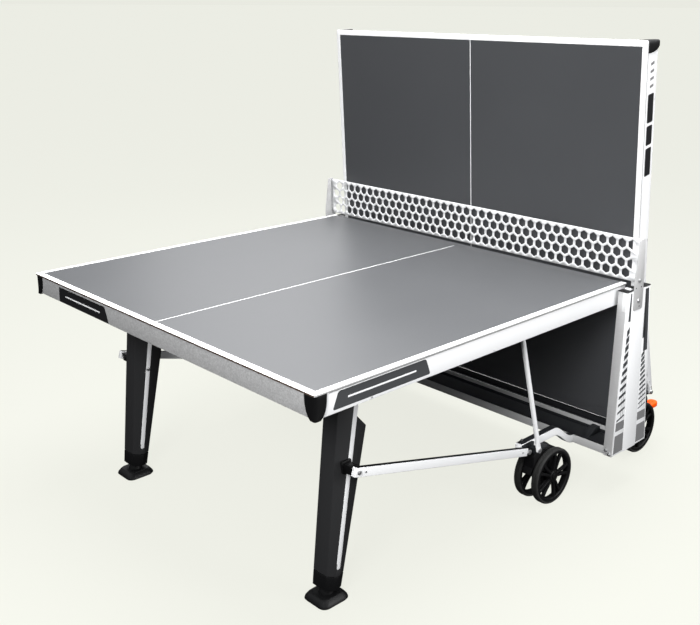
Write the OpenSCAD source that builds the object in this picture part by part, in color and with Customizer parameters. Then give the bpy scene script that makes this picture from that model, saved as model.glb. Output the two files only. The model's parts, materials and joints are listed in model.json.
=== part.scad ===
// Folding ping pong table: one half flat for playing, the other half folded upright.
// Units are millimetres, +Z is up, X runs across the table and Y along it. The origin is on
// the floor, midway between the object's extreme ends along Y. Inside the modules Y is counted
// from the net plane, and a half is drawn flat, reaching towards -Y, before it is placed.

/* [Playing surface] */
// Width of the table
table_w = 1525; // [1500:1:1530]
// Length of one half, from the net plane to its end
half_len = 1370; // [1360:1:1375]
// Height of the playing surface above the floor
table_h = 760; // [756:1:764]
// Thickness of the laminate
top_t = 6; // [4:0.5:8]
// Gap between the net plane and the laminate's net edge
net_edge = 18; // [16:1:20]

/* [Frame] */
// Height of the apron rails
apron_h = 63; // [58:1:66]
// How far the laminate stands out past the side rails
side_lip = 4.5; // [3:0.5:6]
// How far the laminate stands out past the end rail
end_lip = 5; // [4:0.5:6]
// Sheet thickness of the apron rails
rail_t = 2; // [1.5:0.5:3]
// Width of the rails' flanges
rail_flange = 25; // [20:1:28]

/* [Folding] */
// Angle that a half turns between flat and upright
fold_angle = 91.7; // [91:0.1:92]
// Radius of the hinge axle
axle_r = 7; // [6:0.5:8]
// Radius of the guide rollers
roller_r = 10; // [9:0.5:10]

/* [Legs] */
// Distance of each leg's centre from the table's centre line
leg_x = 546; // [530:1:560]
// Lean of the legs from the vertical
leg_lean = 9.5; // [9:0.1:10]
// Width of a leg at its seam
leg_w = 90; // [80:1:94]
// Width of a leg's front and rear face
leg_face_w = 60; // [50:1:64]
// How far a foot screws out
foot_travel = 20; // [5:1:20]

/* [Posts and net] */
// Distance from the centre line to a post's inner edge
post_in = 766; // [764:1:768]
// Distance from the centre line to a post's outer web
post_out = 800; // [798:1:802]
// Height of the posts' upper end
post_top = 745; // [743:1:747]
// Half the depth of a post at its upper end
post_half_top = 70; // [66:1:72]
// Half the depth of a post at its lower end
post_half_low = 107; // [105:1:110]
// Height of the net above the playing surface
net_h = 152.5; // [150:0.5:155]

/* [Base and wheels] */
// Height of the base tray's underside
base_z = 152; // [150:1:154]
// Height of the base tray's lips
lip_h = 30; // [24:1:32]
// Radius of the wheels
wheel_r = 100; // [96:1:100]
// Width of one wheel
wheel_w = 27; // [24:1:27]
// Distance from the centre line to the middle of a caster
caster_x = 634; // [630:1:636]
// Distance of the caster's swivel axis from the net plane
swivel_y = 325; // [315:1:330]
// Distance between the swivel axis and the wheels' axle
trail = 50; // [45:1:55]

/* [Hidden] */
$fn = 48;

// clearances
run = 0.05;             // radial clearance of a shaft in its hole
gap = 0.5;              // gap between faces that pass each other
over = 1;               // how far a cut runs past the face that it opens

// the pedal's tip is the rear end of the object, the flat half's end is the front
pedal_reach = 450;
origin_y = (half_len - pedal_reach) / 2;

// heights of the frame under the laminate
top_z = table_h - top_t;
apron_low = top_z - apron_h;
half_w = table_w / 2;
rail_x = half_w - side_lip;
rail_y = half_len - end_lip;

// folding: [y, z] of the hinge axle with the half flat, and with it upright
hinge_drop = 45;                // leg and strut hinges below the playing surface
flat_pivot = [-28, table_h - 22];
upright_pivot = [-79.8, 215.2];

// linkage: [y, z] points with the half flat
leg_hinge = [-1062, table_h - hinge_drop];
leg_joint = [-1136, 427];       // link bar on the leg
arm_joint = [-378, 218];        // link bar at the wheel arm
strut_hinge = [-471, table_h - hinge_drop];
strut_joint = [-349, 222];      // strut at the wheel arm

function turned(v, a) = [v.x * cos(a) - v.y * sin(a), v.x * sin(a) + v.y * cos(a)];
function upright(p) = upright_pivot + turned(p - flat_pivot, -fold_angle);
function heading(v) = atan2(v.y, v.x);
// the lower crossing of two circles, seen from the first centre
function crossing(c1, r1, c2, r2) =
    let (d = c2 - c1, l = norm(d), a = (r1 ^ 2 - r2 ^ 2 + l ^ 2) / (2 * l),
         h = sqrt(r1 ^ 2 - a ^ 2))
    c1 + d / l * a - h * [-d.y, d.x] / l;

leg_joint_up = crossing(upright(leg_hinge), norm(leg_joint - leg_hinge),
    arm_joint, norm(arm_joint - leg_joint));
leg_world_turn = heading(leg_joint_up - upright(leg_hinge)) - heading(leg_joint - leg_hinge);
link_world_turn = heading(arm_joint - leg_joint_up) - heading(arm_joint - leg_joint);
strut_world_turn = heading(strut_joint - upright(strut_hinge))
    - heading(strut_joint - strut_hinge);
leg_turn = leg_world_turn + fold_angle;
link_turn = link_world_turn - leg_world_turn;
strut_turn = strut_world_turn + fold_angle;
guide_lean = atan2(flat_pivot.x - upright_pivot.x, flat_pivot.y - upright_pivot.y);
guide_len = norm(flat_pivot - upright_pivot);

// planes across the table
arm_in = 606;
arm_out = 634;
ear_t = 1.5;
link_in = arm_out + ear_t + gap;
link_w = 16;
link_out = link_in + link_w;
strut_x = 668;
strut_r = 8;
strut_eye_r = 12;
strut_eye_w = 12;
strut_pin_r = 5;
strut_pin_half = 14;
link_pin_r = 6;
link_half_h = 14;
spacer_end = strut_x - strut_r - gap;

// legs
leg_core_t = 22;
leg_top = 8;                    // tube's end above the hinge
leg_axle_r = 12;
leg_rod_r = 9;
leg_rod_end = 600;
cap_join_z = 88;                // height of the joint between the shells and the caps
cap_end_z = 42;
leg_drop_caps = (leg_hinge.y - cap_join_z) / cos(leg_lean);
leg_drop_end = (leg_hinge.y - cap_end_z) / cos(leg_lean);
shell_front = [70, 62, 33];     // [start along the leg, depth there, depth at the caps]
shell_rear = [195, 49, 27];
shell_chamfer = [38, 3];        // [length, depth at its top] of the rear shells' sloped start
foot_stem_r = 10;
foot_stem_len = 68;             // half of it is inside the leg
foot_hole_past = 6;             // how much deeper its hole is
foot_neck_len = 28;
foot_neck_r = 17;
pad_w = 104;
pad_h = 25;
pad_r = 24;
pad_steps = [[0, 0], [9, 10], [17, 22]];    // [height, how much narrower] of the pad's layers

// posts
post_web = 3;
post_foot = base_z;
cover_half = 38;
lip_y = 101.5;
tray_t = 2;
bolt_r = 4;
bolt_hole_r = 4.2;
bolt_across = 11;
bolt_head = 4;
post_bolt_head = 5;
post_bolt_len = 9;
post_bolt_hole = [8, 30];       // [start outside the post, length] of the bolts' holes
post_cap_t = 3;
cap_notch = 48;                 // half the length of the caps' notch for the hinge axle
panel_t = 2;
cover_t = 3;
spine_y = [36, 40];
spine_end = 6;
net_bolt_low = 703;
net_bolt_high = 774;
net_bolt_past = [9, 3];          // how far the low and the high net bolts reach past the plates
// half the depth of a post at height z
function post_half(z) = post_half_low
    - (z - post_foot) * (post_half_low - post_half_top) / (post_top - post_cap_t - post_foot);

// net
net_t = 2;
net_half = 797;
rod_r = 3;
plate_y = -8;
plate_t = 3;
plate_low = 672;
plate_half = [27, 28, 22];      // half the plate's width at its lower end, its shoulders and its top
plate_shoulder = 778;
net_above = [4, 2];             // gap under the net, and what it stands above its rules' height

// casters
arm_low = 215;
arm_depth = 29;
fork_w = 44;
wheel_axle_r = 8;
stem_r = 8;
caster_plate_t = 8;
caster_plate = [-33, 42, 26];   // [front, rear, outer] reach from the swivel axis
ear_outline = [[-398, 210], [-334, 210], [-332, 236], [-345, 243], [-398, 243]];
ear_pin_r = 9;
fork_outline = [[-258, 112], [-262, 178], [-298, 203], [-352, 203], [-359, 152], [-348, 112],
    [-292, 80]];
fork_hub_r = 24;
pedal_slot = [[-380, 108], [-324, 172]];
nut_r = 13;
nut_t = 3;
stem_from = 190;
wheel_side_gap = 2;
tyre_t = 19;
wheel_hub_r = 21;
spoke_w = 8;
spoke_t = 12;
pedal_pivot = [-342, 140];
pedal_pin_r = 4;
pedal_boss_r = 11;
pedal_half_t = 7;
pedal_low = 128;
pedal_t = 20;
pedal_tip_r = 21;
pedal_len = 44;
pedal_arm = [-400, 134, 146];   // [end, low, high] of the arm behind the pedal

// ---------------------------------------------------------------- placing

module from_net() { translate([0, origin_y, 0]) children(); }
module both_sides() {
    children();
    mirror([1, 0, 0]) children();
}
module side(left) {
    if (left) mirror([1, 0, 0]) children();
    else children();
}
module end(rear) {
    if (rear) mirror([0, 1, 0]) children();
    else children();
}
// a turn about a line along X through the point [y, z]
module turn(p, a) {
    translate([0, p.x, p.y]) rotate([a, 0, 0]) translate([0, -p.x, -p.y]) children();
}

module on_carriage(rear) {
    shift = upright_pivot - flat_pivot;
    if (rear) mirror([0, 1, 0]) translate([0, shift.x, shift.y]) children();
    else children();
}
module on_top(rear) {
    if (rear) on_carriage(rear) turn(flat_pivot, -fold_angle) children();
    else children();
}
module on_legs(rear) {
    on_top(rear) {
        if (rear) turn(leg_hinge, leg_turn) children();
        else children();
    }
}
module on_links(rear) {
    on_legs(rear) {
        if (rear) turn(leg_joint, link_turn) children();
        else children();
    }
}
module on_struts(rear) {
    on_top(rear) {
        if (rear) turn(strut_hinge, strut_turn) children();
        else children();
    }
}
// the leg's own frame: origin at the hinge, -Z down the leg
module along_leg() {
    translate([leg_x, leg_hinge.x, leg_hinge.y]) rotate([-leg_lean, 0, 0]) children();
}

// ---------------------------------------------------------------- shapes

module box(low, high) { translate(low) cube(high - low); }
module bar_x(p, r, x0, x1) {
    translate([x0, p.x, p.y]) rotate([0, 90, 0]) cylinder(r = r, h = x1 - x0);
}
// an outline in the Y-Z plane, given thickness from x0 to x1
module plate_x(x0, x1) {
    translate([x0, 0, 0]) rotate([90, 0, 90]) linear_extrude(x1 - x0) children();
}
// an outline in the X-Z plane, given thickness from y0 to y1
module plate_y_dir(y0, y1) {
    translate([0, y1, 0]) rotate([90, 0, 0]) linear_extrude(y1 - y0) children();
}
// a square with round corners, made of plain shapes
module soft_square(w, r) {
    square([w, w - 2 * r], center = true);
    square([w - 2 * r, w], center = true);
    for (x = [-1, 1], y = [-1, 1]) translate([x, y] * (w / 2 - r)) circle(r);
}
module hex_bolt(across, head, shank_r, shank) {
    cylinder(r = across / sqrt(3), h = head, $fn = 6);
    translate([0, 0, -shank]) cylinder(r = shank_r, h = shank + over);
}

// ---------------------------------------------------------------- base

module base_tray() {
    color("silver") from_net() {
        difference() {
            box([-post_out + post_web, -lip_y, base_z], [post_out - post_web, lip_y, base_z + lip_h]);
            box([-post_out, -lip_y + tray_t, base_z + tray_t],
                [post_out, lip_y - tray_t, base_z + lip_h + over]);
            both_sides() for (y = [-1, 1]) post_bolt_holes(y);
        }
        // spine rail that stiffens the tray
        box([-post_in + spine_end, spine_y[0], base_z + tray_t],
            [post_in - spine_end, spine_y[1], base_z + lip_h]);
    }
}
// post bolts: [x, z] of each
post_bolts = [[776, 171], [790, 160]];
module post_bolt_holes(y) {
    for (b = post_bolts) translate([b.x, y * (post_half_low + post_bolt_hole[0]), b.y]) rotate([y * 90, 0, 0])
        cylinder(r = bolt_hole_r, h = post_bolt_hole[1]);
}
module post_outline(inset) {
    polygon([[-post_half_low + inset, post_foot], [post_half_low - inset, post_foot],
        [post_half_top - inset, post_top - post_cap_t],
        [-post_half_top + inset, post_top - post_cap_t]]);
}
module post(left) {
    color("gainsboro") from_net() side(left) difference() {
        plate_x(post_in, post_out) post_outline(0);
        plate_x(post_in - over, post_out - post_web) post_outline(post_web);
        for (y = [-1, 1]) post_bolt_holes(y);
        bar_x([plate_y, net_bolt_low], bolt_hole_r, post_in, post_out + cover_t + over);
    }
}
module left_post() { post(true); }
module right_post() { post(false); }
module post_panels() {
    color("dimgray") from_net() both_sides() for (y = [-1, 1])
        plate_x(post_out, post_out + panel_t) polygon([[y * (cover_half + gap), post_foot + 6],
            [y * (post_half_low - 4), post_foot + 6], [y * (post_half_top - 3), post_top - 10],
            [y * (cover_half + gap), post_top - 10]]);
}
module post_covers() {
    color("white") from_net() both_sides() difference() {
        box([post_out, -cover_half, post_foot],
            [post_out + cover_t, cover_half, post_top - post_cap_t]);
        bar_x([plate_y, net_bolt_low], bolt_hole_r, post_in, post_out + cover_t + over);
    }
}
module post_caps() {
    color("#222222") from_net() both_sides() difference() {
        box([post_in - 1, -post_half_top - 2, post_top - post_cap_t],
            [post_out + cover_t, post_half_top + 2, post_top]);
        box([post_in - 1 - over, -cap_notch, post_top - post_cap_t - over],
            [post_out - 4, cap_notch, post_top + over]);
    }
}
guide_wall = 2;
guide_half = roller_r + 0.3;
guide_past = [25, 20];          // how far the guides run past the pivots, down and up
module guide_rails() {
    color("silver") from_net() both_sides() for (rear = [false, true]) end(rear)
        intersection() {
            turn(flat_pivot, -guide_lean) difference() {
                box([post_in + 2, flat_pivot.x - guide_half - guide_wall,
                        flat_pivot.y - guide_len - guide_past[0]],
                    [post_out - post_web, flat_pivot.x + guide_half + guide_wall,
                        flat_pivot.y + guide_past[1]]);
                box([post_in, flat_pivot.x - guide_half,
                        flat_pivot.y - guide_len - guide_past[0] - over],
                    [post_out - post_web - guide_wall, flat_pivot.x + guide_half,
                        flat_pivot.y + guide_past[1] + over]);
            }
            box([post_in, -post_half_low, 0], [post_out, post_half_low, post_top - post_cap_t]);
        }
}
// the arm's middle line rises from the tray to its level run in one smooth S
arm_rise_from = [-lip_y, base_z + 15];
arm_rise_len = 115;
arm_end = -400;
arm_steps = 12;
function arm_mid(s) = [arm_rise_from.x - s * arm_rise_len,
    arm_rise_from.y + (arm_low + arm_depth / 2 - arm_rise_from.y) * (1 - cos(180 * s)) / 2];
module arm_outline() {
    line = [for (i = [0 : arm_steps]) arm_mid(i / arm_steps)];
    half = arm_depth / 2;
    polygon(concat([for (p = line) p + [0, half]],
        [[arm_end, arm_low + arm_depth], [arm_end, arm_low]],
        [for (i = [arm_steps : -1 : 0]) line[i] - [0, half]]));
}
module wheel_arms() {
    color("gainsboro") from_net() both_sides() for (rear = [false, true]) end(rear)
        plate_x(arm_in, arm_out) arm_outline();
}
module arm_brackets() {
    color("#1c1c1e") from_net() both_sides() for (rear = [false, true]) end(rear) {
        // ear that carries the strut's spacer
        plate_x(arm_out, arm_out + ear_t)
            polygon(ear_outline);
        bar_x(strut_joint, ear_pin_r, arm_out + ear_t, spacer_end);
        // plate that carries the caster
        difference() {
            box([arm_in, -swivel_y + caster_plate[0], arm_low - caster_plate_t],
                [caster_x + caster_plate[2], -swivel_y + caster_plate[1], arm_low]);
            translate([caster_x, -swivel_y, 0]) cylinder(r = stem_r + run, h = arm_low + over);
        }
    }
}
module net() {
    color("white") from_net()
        box([-net_half, -net_t / 2, table_h + net_above[0]],
            [net_half, net_t / 2, table_h + net_h + net_above[1]]);
}
module net_plates() {
    top = table_h + net_h + 4;
    color("silver") from_net() both_sides() {
        difference() {
            plate_x(post_out + cover_t, post_out + cover_t + plate_t)
                polygon([[plate_y - plate_half[0], plate_low], [plate_y + plate_half[0], plate_low],
                    [plate_y + plate_half[1], plate_shoulder], [plate_y + plate_half[2], top],
                    [2 * plate_y, top], [plate_y - plate_half[1], plate_shoulder]]);
            for (z = [net_bolt_low, net_bolt_high])
                bar_x([plate_y, z], bolt_hole_r, post_out, post_out + cover_t + plate_t + over);
        }
        // rod that tensions the net
        translate([post_out, 0, table_h + 2]) cylinder(r = rod_r, h = net_h + 2);
    }
}
module base_bolts() {
    color("lightgray") from_net() both_sides() {
        for (z = [net_bolt_low, net_bolt_high])
            translate([post_out + cover_t + plate_t, plate_y, z]) rotate([0, 90, 0])
                hex_bolt(bolt_across, bolt_head, bolt_r, plate_t + net_bolt_past[z > post_top ? 1 : 0]);
        for (y = [-1, 1], b = post_bolts)
            translate([b.x, y * (post_half(b.y) + gap), b.y])
                rotate([-y * 90, 0, 0]) hex_bolt(bolt_across, post_bolt_head, bolt_r, post_bolt_len);
    }
}

// ---------------------------------------------------------------- one half's top

axle_end = post_out - 6;
module hinge_axle(rear) {
    color("silver") from_net() on_carriage(rear) {
        bar_x(flat_pivot, axle_r, -axle_end, axle_end);
        both_sides() color("black") difference() {
            bar_x(flat_pivot, roller_r, post_in + 3, axle_end - 2);
            bar_x(flat_pivot, axle_r + run, post_in, post_out);
        }
    }
}
module playing_surface(rear) {
    color("#6f7478") from_net() on_top(rear)
        box([-half_w, -half_len, top_z], [half_w, -net_edge, table_h]);
}
// a C section, open towards +X, with its web's outer face at x = 0
module rail_outline() {
    difference() {
        translate([0, apron_low]) square([rail_flange, apron_h]);
        translate([rail_t, apron_low + rail_t]) square([rail_flange, apron_h - 2 * rail_t]);
    }
}
module side_rails(rear) {
    color("white") from_net() on_top(rear) both_sides() difference() {
        translate([rail_x, -net_edge, 0]) rotate([90, 0, 0]) mirror([1, 0, 0])
            linear_extrude(rail_y - rail_flange - net_edge) rail_outline();
        bar_x(flat_pivot, axle_r + run, rail_x - rail_t - over, rail_x + over);
    }
}
module end_rail(rear) {
    color("gainsboro") from_net() on_top(rear)
        translate([-rail_x, -rail_y, 0]) rotate([90, 0, 90])
            linear_extrude(2 * rail_x) rail_outline();
}
module tube_x(y0, y1, z0, z1, x1, t) {
    difference() {
        box([-x1, y0, z0], [x1, y1, z1]);
        box([-x1 - over, y0 + t, z0 + t], [x1 + over, y1 - t, z1 - t]);
    }
}
tube_t = 1.5;
net_rail_y = [-82, -52];
net_rail_low = 720;
module net_rail(rear) {
    color("silver") from_net() on_top(rear)
        tube_x(net_rail_y[0], net_rail_y[1], net_rail_low, top_z - rail_t, rail_x - rail_t, tube_t);
}
cross_low = 734;
cross_half = 20;
module cross_rails(rear) {
    color("#2a2c30") from_net() on_top(rear)
        for (y = [strut_hinge.x, leg_hinge.x])
            tube_x(y - cross_half, y + cross_half, cross_low, top_z - rail_t, rail_x - rail_t, tube_t);
}
cap_low = apron_low - 4;
module corner_caps(rear) {
    wide = 41;
    narrow = 18;
    r = 10;
    reach = wide + over;
    color("#1c1c1e") from_net() on_top(rear) both_sides() intersection() {
        union() {
            plate_y_dir(-half_len, -rail_y) polygon([[half_w, top_z], [half_w - wide, top_z],
                [half_w - narrow, cap_low], [half_w, cap_low]]);
            plate_x(rail_x, half_w) polygon([[-half_len, top_z], [-half_len + wide, top_z],
                [-half_len + narrow, cap_low], [-half_len, cap_low]]);
        }
        union() {
            box([half_w - reach, -half_len + r, cap_low], [half_w, -half_len + reach, top_z]);
            box([half_w - reach, -half_len, cap_low], [half_w - r, -half_len + reach, top_z]);
            translate([half_w - r, -half_len + r, cap_low]) cylinder(r = r, h = top_z - cap_low);
        }
    }
}
bracket_t = 4;
leg_bracket_x = 606;
axle_plate = [-50, 724, 6];     // [far edge, lower edge, thickness] of the hinge axle's plate
leg_bracket_half = 18;
strut_bracket_half = 12;
strut_bracket_t = 3;
module brackets(rear) {
    color("#2a2c30") from_net() on_top(rear) both_sides() {
        // plate that carries the hinge axle
        difference() {
            box([rail_x - rail_t - axle_plate[2], axle_plate[0], axle_plate[1]],
                [rail_x - rail_t, -net_edge - 1, top_z - rail_t]);
            bar_x(flat_pivot, axle_r + run, rail_x - rail_t - axle_plate[2] - over, rail_x);
        }
        // plate that carries the leg axle
        difference() {
            box([leg_bracket_x, leg_hinge.x - leg_bracket_half, leg_hinge.y - leg_bracket_half],
                [leg_bracket_x + bracket_t, leg_hinge.x + leg_bracket_half, cross_low]);
            bar_x(leg_hinge, leg_axle_r + run, leg_bracket_x - over, leg_bracket_x + bracket_t + over);
        }
        // plates and pin that carry the strut
        for (x = [strut_x - 12, strut_x + 12 - strut_bracket_t]) difference() {
            box([x, strut_hinge.x - strut_bracket_half, strut_hinge.y - strut_bracket_half],
                [x + strut_bracket_t, strut_hinge.x + strut_bracket_half, cross_low]);
            bar_x(strut_hinge, strut_pin_r + run, x - over, x + strut_bracket_t + over);
        }
        bar_x(strut_hinge, strut_pin_r, strut_x - strut_pin_half, strut_x + strut_pin_half);
    }
}

// ---------------------------------------------------------------- one half's legs

leg_plug = 30;                  // solid end of the tube at the hinge
module leg_tubes(rear) {
    t = 2;
    color("lightgray") from_net() on_legs(rear) both_sides() along_leg() difference() {
        translate([-leg_w / 2, -leg_core_t / 2, -leg_drop_caps])
            cube([leg_w, leg_core_t, leg_drop_caps + leg_top]);
        translate([-leg_w / 2 + t, -leg_core_t / 2 + t, -leg_drop_caps - over])
            cube([leg_w - 2 * t, leg_core_t - 2 * t, leg_drop_caps - leg_plug]);
        translate([-leg_w, 0, 0]) rotate([0, 90, 0]) cylinder(r = leg_rod_r + run, h = 2 * leg_w);
    }
}
module leg_axle(rear) {
    color("silver") from_net() on_legs(rear) {
        bar_x(leg_hinge, leg_rod_r, -leg_rod_end, leg_rod_end);
        both_sides() bar_x(leg_hinge, leg_axle_r, leg_x + leg_w / 2 + 1, leg_bracket_x + 2 * bracket_t);
    }
}
// half a hexagonal section of the leg, on the side given by s
module shell_section(s, depth) {
    polygon([[-leg_w / 2, s * leg_core_t / 2], [-leg_face_w / 2, s * depth],
        [leg_face_w / 2, s * depth], [leg_w / 2, s * leg_core_t / 2]]);
}
thin = 0.1;
module leg_shell(s, from) {
    hull() {
        translate([0, 0, -from.x]) linear_extrude(thin) shell_section(s, from.y);
        translate([0, 0, -leg_drop_caps]) linear_extrude(thin) shell_section(s, from.z);
        if (s > 0) translate([0, 0, -from.x + shell_chamfer[0]])
            linear_extrude(thin) shell_section(s, leg_core_t / 2 + shell_chamfer[1]);
    }
}
module leg_shells(rear) {
    color("#232326") from_net() on_legs(rear) both_sides() along_leg() {
        leg_shell(-1, shell_front);
        leg_shell(1, shell_rear);
    }
}
module leg_caps(rear) {
    color("#1a1a1c") from_net() on_legs(rear) both_sides() along_leg() difference() {
        translate([0, 0, -leg_drop_end]) linear_extrude(leg_drop_end - leg_drop_caps) union() {
            shell_section(-1, shell_front.z);
            shell_section(1, shell_rear.z);
            square([leg_w, leg_core_t], center = true);
        }
        translate([0, 0, -leg_drop_end - over])
            cylinder(r = foot_stem_r + run, h = foot_stem_len / 2 + foot_hole_past);
    }
}
clamp_outline = [[-1158, 452], [-1098, 452], [-1092, 392], [-1152, 392]];
clamp_t = 8;
clamp_boss_r = 17;
clamp_washer = [11, 4];         // [radius, thickness]
module leg_clamps(rear) {
    x0 = leg_x + leg_w / 2;
    color("#1a1a1c") from_net() on_legs(rear) both_sides() {
        plate_x(x0, x0 + clamp_t) polygon(clamp_outline);
        bar_x(leg_joint, clamp_boss_r, x0 + clamp_t, link_in - 1);
        bar_x(leg_joint, link_pin_r, link_in - 1, link_out + gap + 1);
        bar_x(leg_joint, clamp_washer[0], link_out + gap, link_out + gap + clamp_washer[1]);
    }
}
module foot(rear, left) {
    pad_y = leg_hinge.x - (leg_hinge.y - pad_h / 2) * tan(leg_lean);
    color("#151517") from_net() on_legs(rear) side(left) {
        for (i = [0 : len(pad_steps) - 1]) translate([leg_x, pad_y, pad_steps[i][0]])
            linear_extrude((i < len(pad_steps) - 1 ? pad_steps[i + 1][0] : pad_h) - pad_steps[i][0])
                soft_square(pad_w - pad_steps[i][1], pad_r - 2 * i);
        along_leg() {
            translate([0, 0, -leg_drop_end - foot_stem_len / 2])
                cylinder(r = foot_stem_r, h = foot_stem_len);
            translate([0, 0, -leg_drop_end - foot_neck_len])
                cylinder(r = foot_neck_r, h = foot_neck_len - gap);
        }
    }
}

// ---------------------------------------------------------------- one half's links

// a bar with round ends between two [y, z] points
module bar_outline(p, q, r) {
    translate(p) rotate(heading(q - p)) {
        translate([0, -r]) square([norm(q - p), 2 * r]);
        circle(r);
        translate([norm(q - p), 0]) circle(r);
    }
}
// how far along a bar its tube's hollow starts and ends
link_hollow = [0.05, 0.95];
link_bolt = [9, 4];             // [radius, thickness] of the bolt's head
module link_bars(rear) {
    wall = 2;
    along = arm_joint - leg_joint;
    color("whitesmoke") from_net() on_links(rear) both_sides() {
        difference() {
            plate_x(link_in, link_out) bar_outline(leg_joint, arm_joint, link_half_h);
            plate_x(link_in - over, link_out - wall)
                bar_outline(leg_joint + along * link_hollow[0], leg_joint + along * link_hollow[1],
                    link_half_h - wall);
            for (p = [leg_joint, arm_joint])
                bar_x(p, link_pin_r + run, link_in - over, link_out + over);
        }
        // bolt at the wheel arm
        bar_x(arm_joint, link_pin_r, link_in, link_out + run);
        bar_x(arm_joint, link_bolt[0], link_out + run, link_out + link_bolt[1]);
    }
}
strut_bolt = [8, 4];            // [radius, thickness] of the bolt's head
module struts(rear) {
    eye0 = strut_x - strut_eye_w / 2;
    eye1 = strut_x + strut_eye_w / 2;
    d = strut_joint - strut_hinge;
    color("whitesmoke") from_net() on_struts(rear) both_sides() {
        difference() {
            union() {
                for (p = [strut_hinge, strut_joint]) bar_x(p, strut_eye_r, eye0, eye1);
                translate([strut_x, strut_hinge.x, strut_hinge.y])
                    rotate([heading(d) - 90, 0, 0]) translate([0, 0, strut_r])
                        cylinder(r = strut_r, h = norm(d) - 2 * strut_r);
            }
            for (p = [strut_hinge, strut_joint])
                bar_x(p, strut_pin_r + run, eye0 - over, eye1 + over);
        }
        // bolt at the wheel arm
        bar_x(strut_joint, strut_pin_r, eye0, eye1 + run);
        bar_x(strut_joint, strut_bolt[0], eye1 + run, eye1 + strut_bolt[1]);
    }
}

// ---------------------------------------------------------------- casters

axle_y = -swivel_y + trail;
nut_x = fork_w / 2 + wheel_side_gap + wheel_w + gap;
module at_caster(rear, left) {
    from_net() end(rear) side(left) translate([caster_x, 0, 0]) children();
}
module fork(rear, left) {
    at_caster(rear, left) {
        color("#18181a") {
            difference() {
                union() {
                    plate_x(-fork_w / 2, fork_w / 2) {
                        polygon(fork_outline);
                        translate([axle_y, wheel_r]) circle(fork_hub_r);
                    }
                    translate([0, -swivel_y, stem_from])
                        cylinder(r = stem_r, h = arm_low - 1 - stem_from);
                }
                bar_x([axle_y, wheel_r], wheel_axle_r + run, -fork_w, fork_w);
                if (rear) {
                    box([-pedal_half_t - gap, pedal_slot[0].x, pedal_slot[0].y],
                        [pedal_half_t + gap, pedal_slot[1].x, pedal_slot[1].y]);
                    bar_x(pedal_pivot, pedal_pin_r + run, -fork_w, fork_w);
                }
            }
        }
        color("silver") {
            bar_x([axle_y, wheel_r], wheel_axle_r, -nut_x, nut_x);
            both_sides() bar_x([axle_y, wheel_r], nut_r, nut_x, nut_x + nut_t);
            if (rear) bar_x(pedal_pivot, pedal_pin_r, -fork_w / 2, fork_w / 2);
        }
    }
}
spokes = 5;                     // pairs of spokes
spoke_turn = 9;                 // half the angle between the spokes of a pair
spoke_from = 15;
module wheel(rear, left, outer) {
    x = (outer ? 1 : -1) * (fork_w / 2 + wheel_side_gap + wheel_w / 2);
    color("#101012") at_caster(rear, left) translate([x, axle_y, wheel_r]) rotate([0, 90, 0])
        difference() {
            union() {
                difference() {
                    cylinder(r = wheel_r, h = wheel_w, center = true, $fn = 96);
                    cylinder(r = wheel_r - tyre_t, h = wheel_w + over, center = true, $fn = 96);
                }
                cylinder(r = wheel_hub_r, h = wheel_w, center = true);
                for (i = [0 : spokes - 1], s = [-1, 1]) rotate(i * 360 / spokes + s * spoke_turn)
                    translate([spoke_from, s * 3 - spoke_w / 2, -spoke_t / 2])
                        cube([wheel_r - tyre_t + 2 - spoke_from, spoke_w, spoke_t]);
            }
            cylinder(r = wheel_axle_r + run, h = wheel_w + over, center = true);
        }
}
module brake(left) {
    color("#ff5a05") at_caster(true, left) difference() {
        union() {
            bar_x(pedal_pivot, pedal_boss_r, -pedal_half_t, pedal_half_t);
            box([-pedal_half_t, pedal_arm[0], pedal_arm[1]],
                [pedal_half_t, pedal_pivot.x, pedal_arm[2]]);
            translate([0, 0, pedal_low]) linear_extrude(pedal_t) {
                translate([-pedal_tip_r, -pedal_reach + pedal_tip_r])
                    square([2 * pedal_tip_r, pedal_len]);
                translate([0, -pedal_reach + pedal_tip_r]) circle(pedal_tip_r);
            }
        }
        bar_x(pedal_pivot, pedal_pin_r + run, -fork_w, fork_w);
    }
}

// ---------------------------------------------------------------- named nodes

base_tray();
left_post();
right_post();
post_panels();
post_covers();
post_caps();
guide_rails();
wheel_arms();
arm_brackets();
net();
net_plates();
base_bolts();
hinge_axle(false);  // front_hinge_axle
playing_surface(false);  // front_playing_surface
side_rails(false);  // front_side_rails
end_rail(false);  // front_end_rail
net_rail(false);  // front_net_rail
cross_rails(false);  // front_cross_rails
corner_caps(false);  // front_corner_caps
brackets(false);  // front_brackets
leg_tubes(false);  // front_leg_tubes
leg_axle(false);  // front_leg_axle
leg_shells(false);  // front_leg_shells
leg_caps(false);  // front_leg_caps
leg_clamps(false);  // front_leg_clamps
foot(false, true);  // front_left_foot
foot(false, false);  // front_right_foot
link_bars(false);  // front_link_bars
struts(false);  // front_struts
hinge_axle(true);  // rear_hinge_axle
playing_surface(true);  // rear_playing_surface
side_rails(true);  // rear_side_rails
end_rail(true);  // rear_end_rail
net_rail(true);  // rear_net_rail
cross_rails(true);  // rear_cross_rails
corner_caps(true);  // rear_corner_caps
brackets(true);  // rear_brackets
leg_tubes(true);  // rear_leg_tubes
leg_axle(true);  // rear_leg_axle
leg_shells(true);  // rear_leg_shells
leg_caps(true);  // rear_leg_caps
leg_clamps(true);  // rear_leg_clamps
foot(true, true);  // rear_left_foot
foot(true, false);  // rear_right_foot
link_bars(true);  // rear_link_bars
struts(true);  // rear_struts
fork(false, true);  // front_left_fork
wheel(false, true, true);  // front_left_outer_wheel
wheel(false, true, false);  // front_left_inner_wheel
fork(false, false);  // front_right_fork
wheel(false, false, true);  // front_right_outer_wheel
wheel(false, false, false);  // front_right_inner_wheel
fork(true, true);  // rear_left_fork
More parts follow.
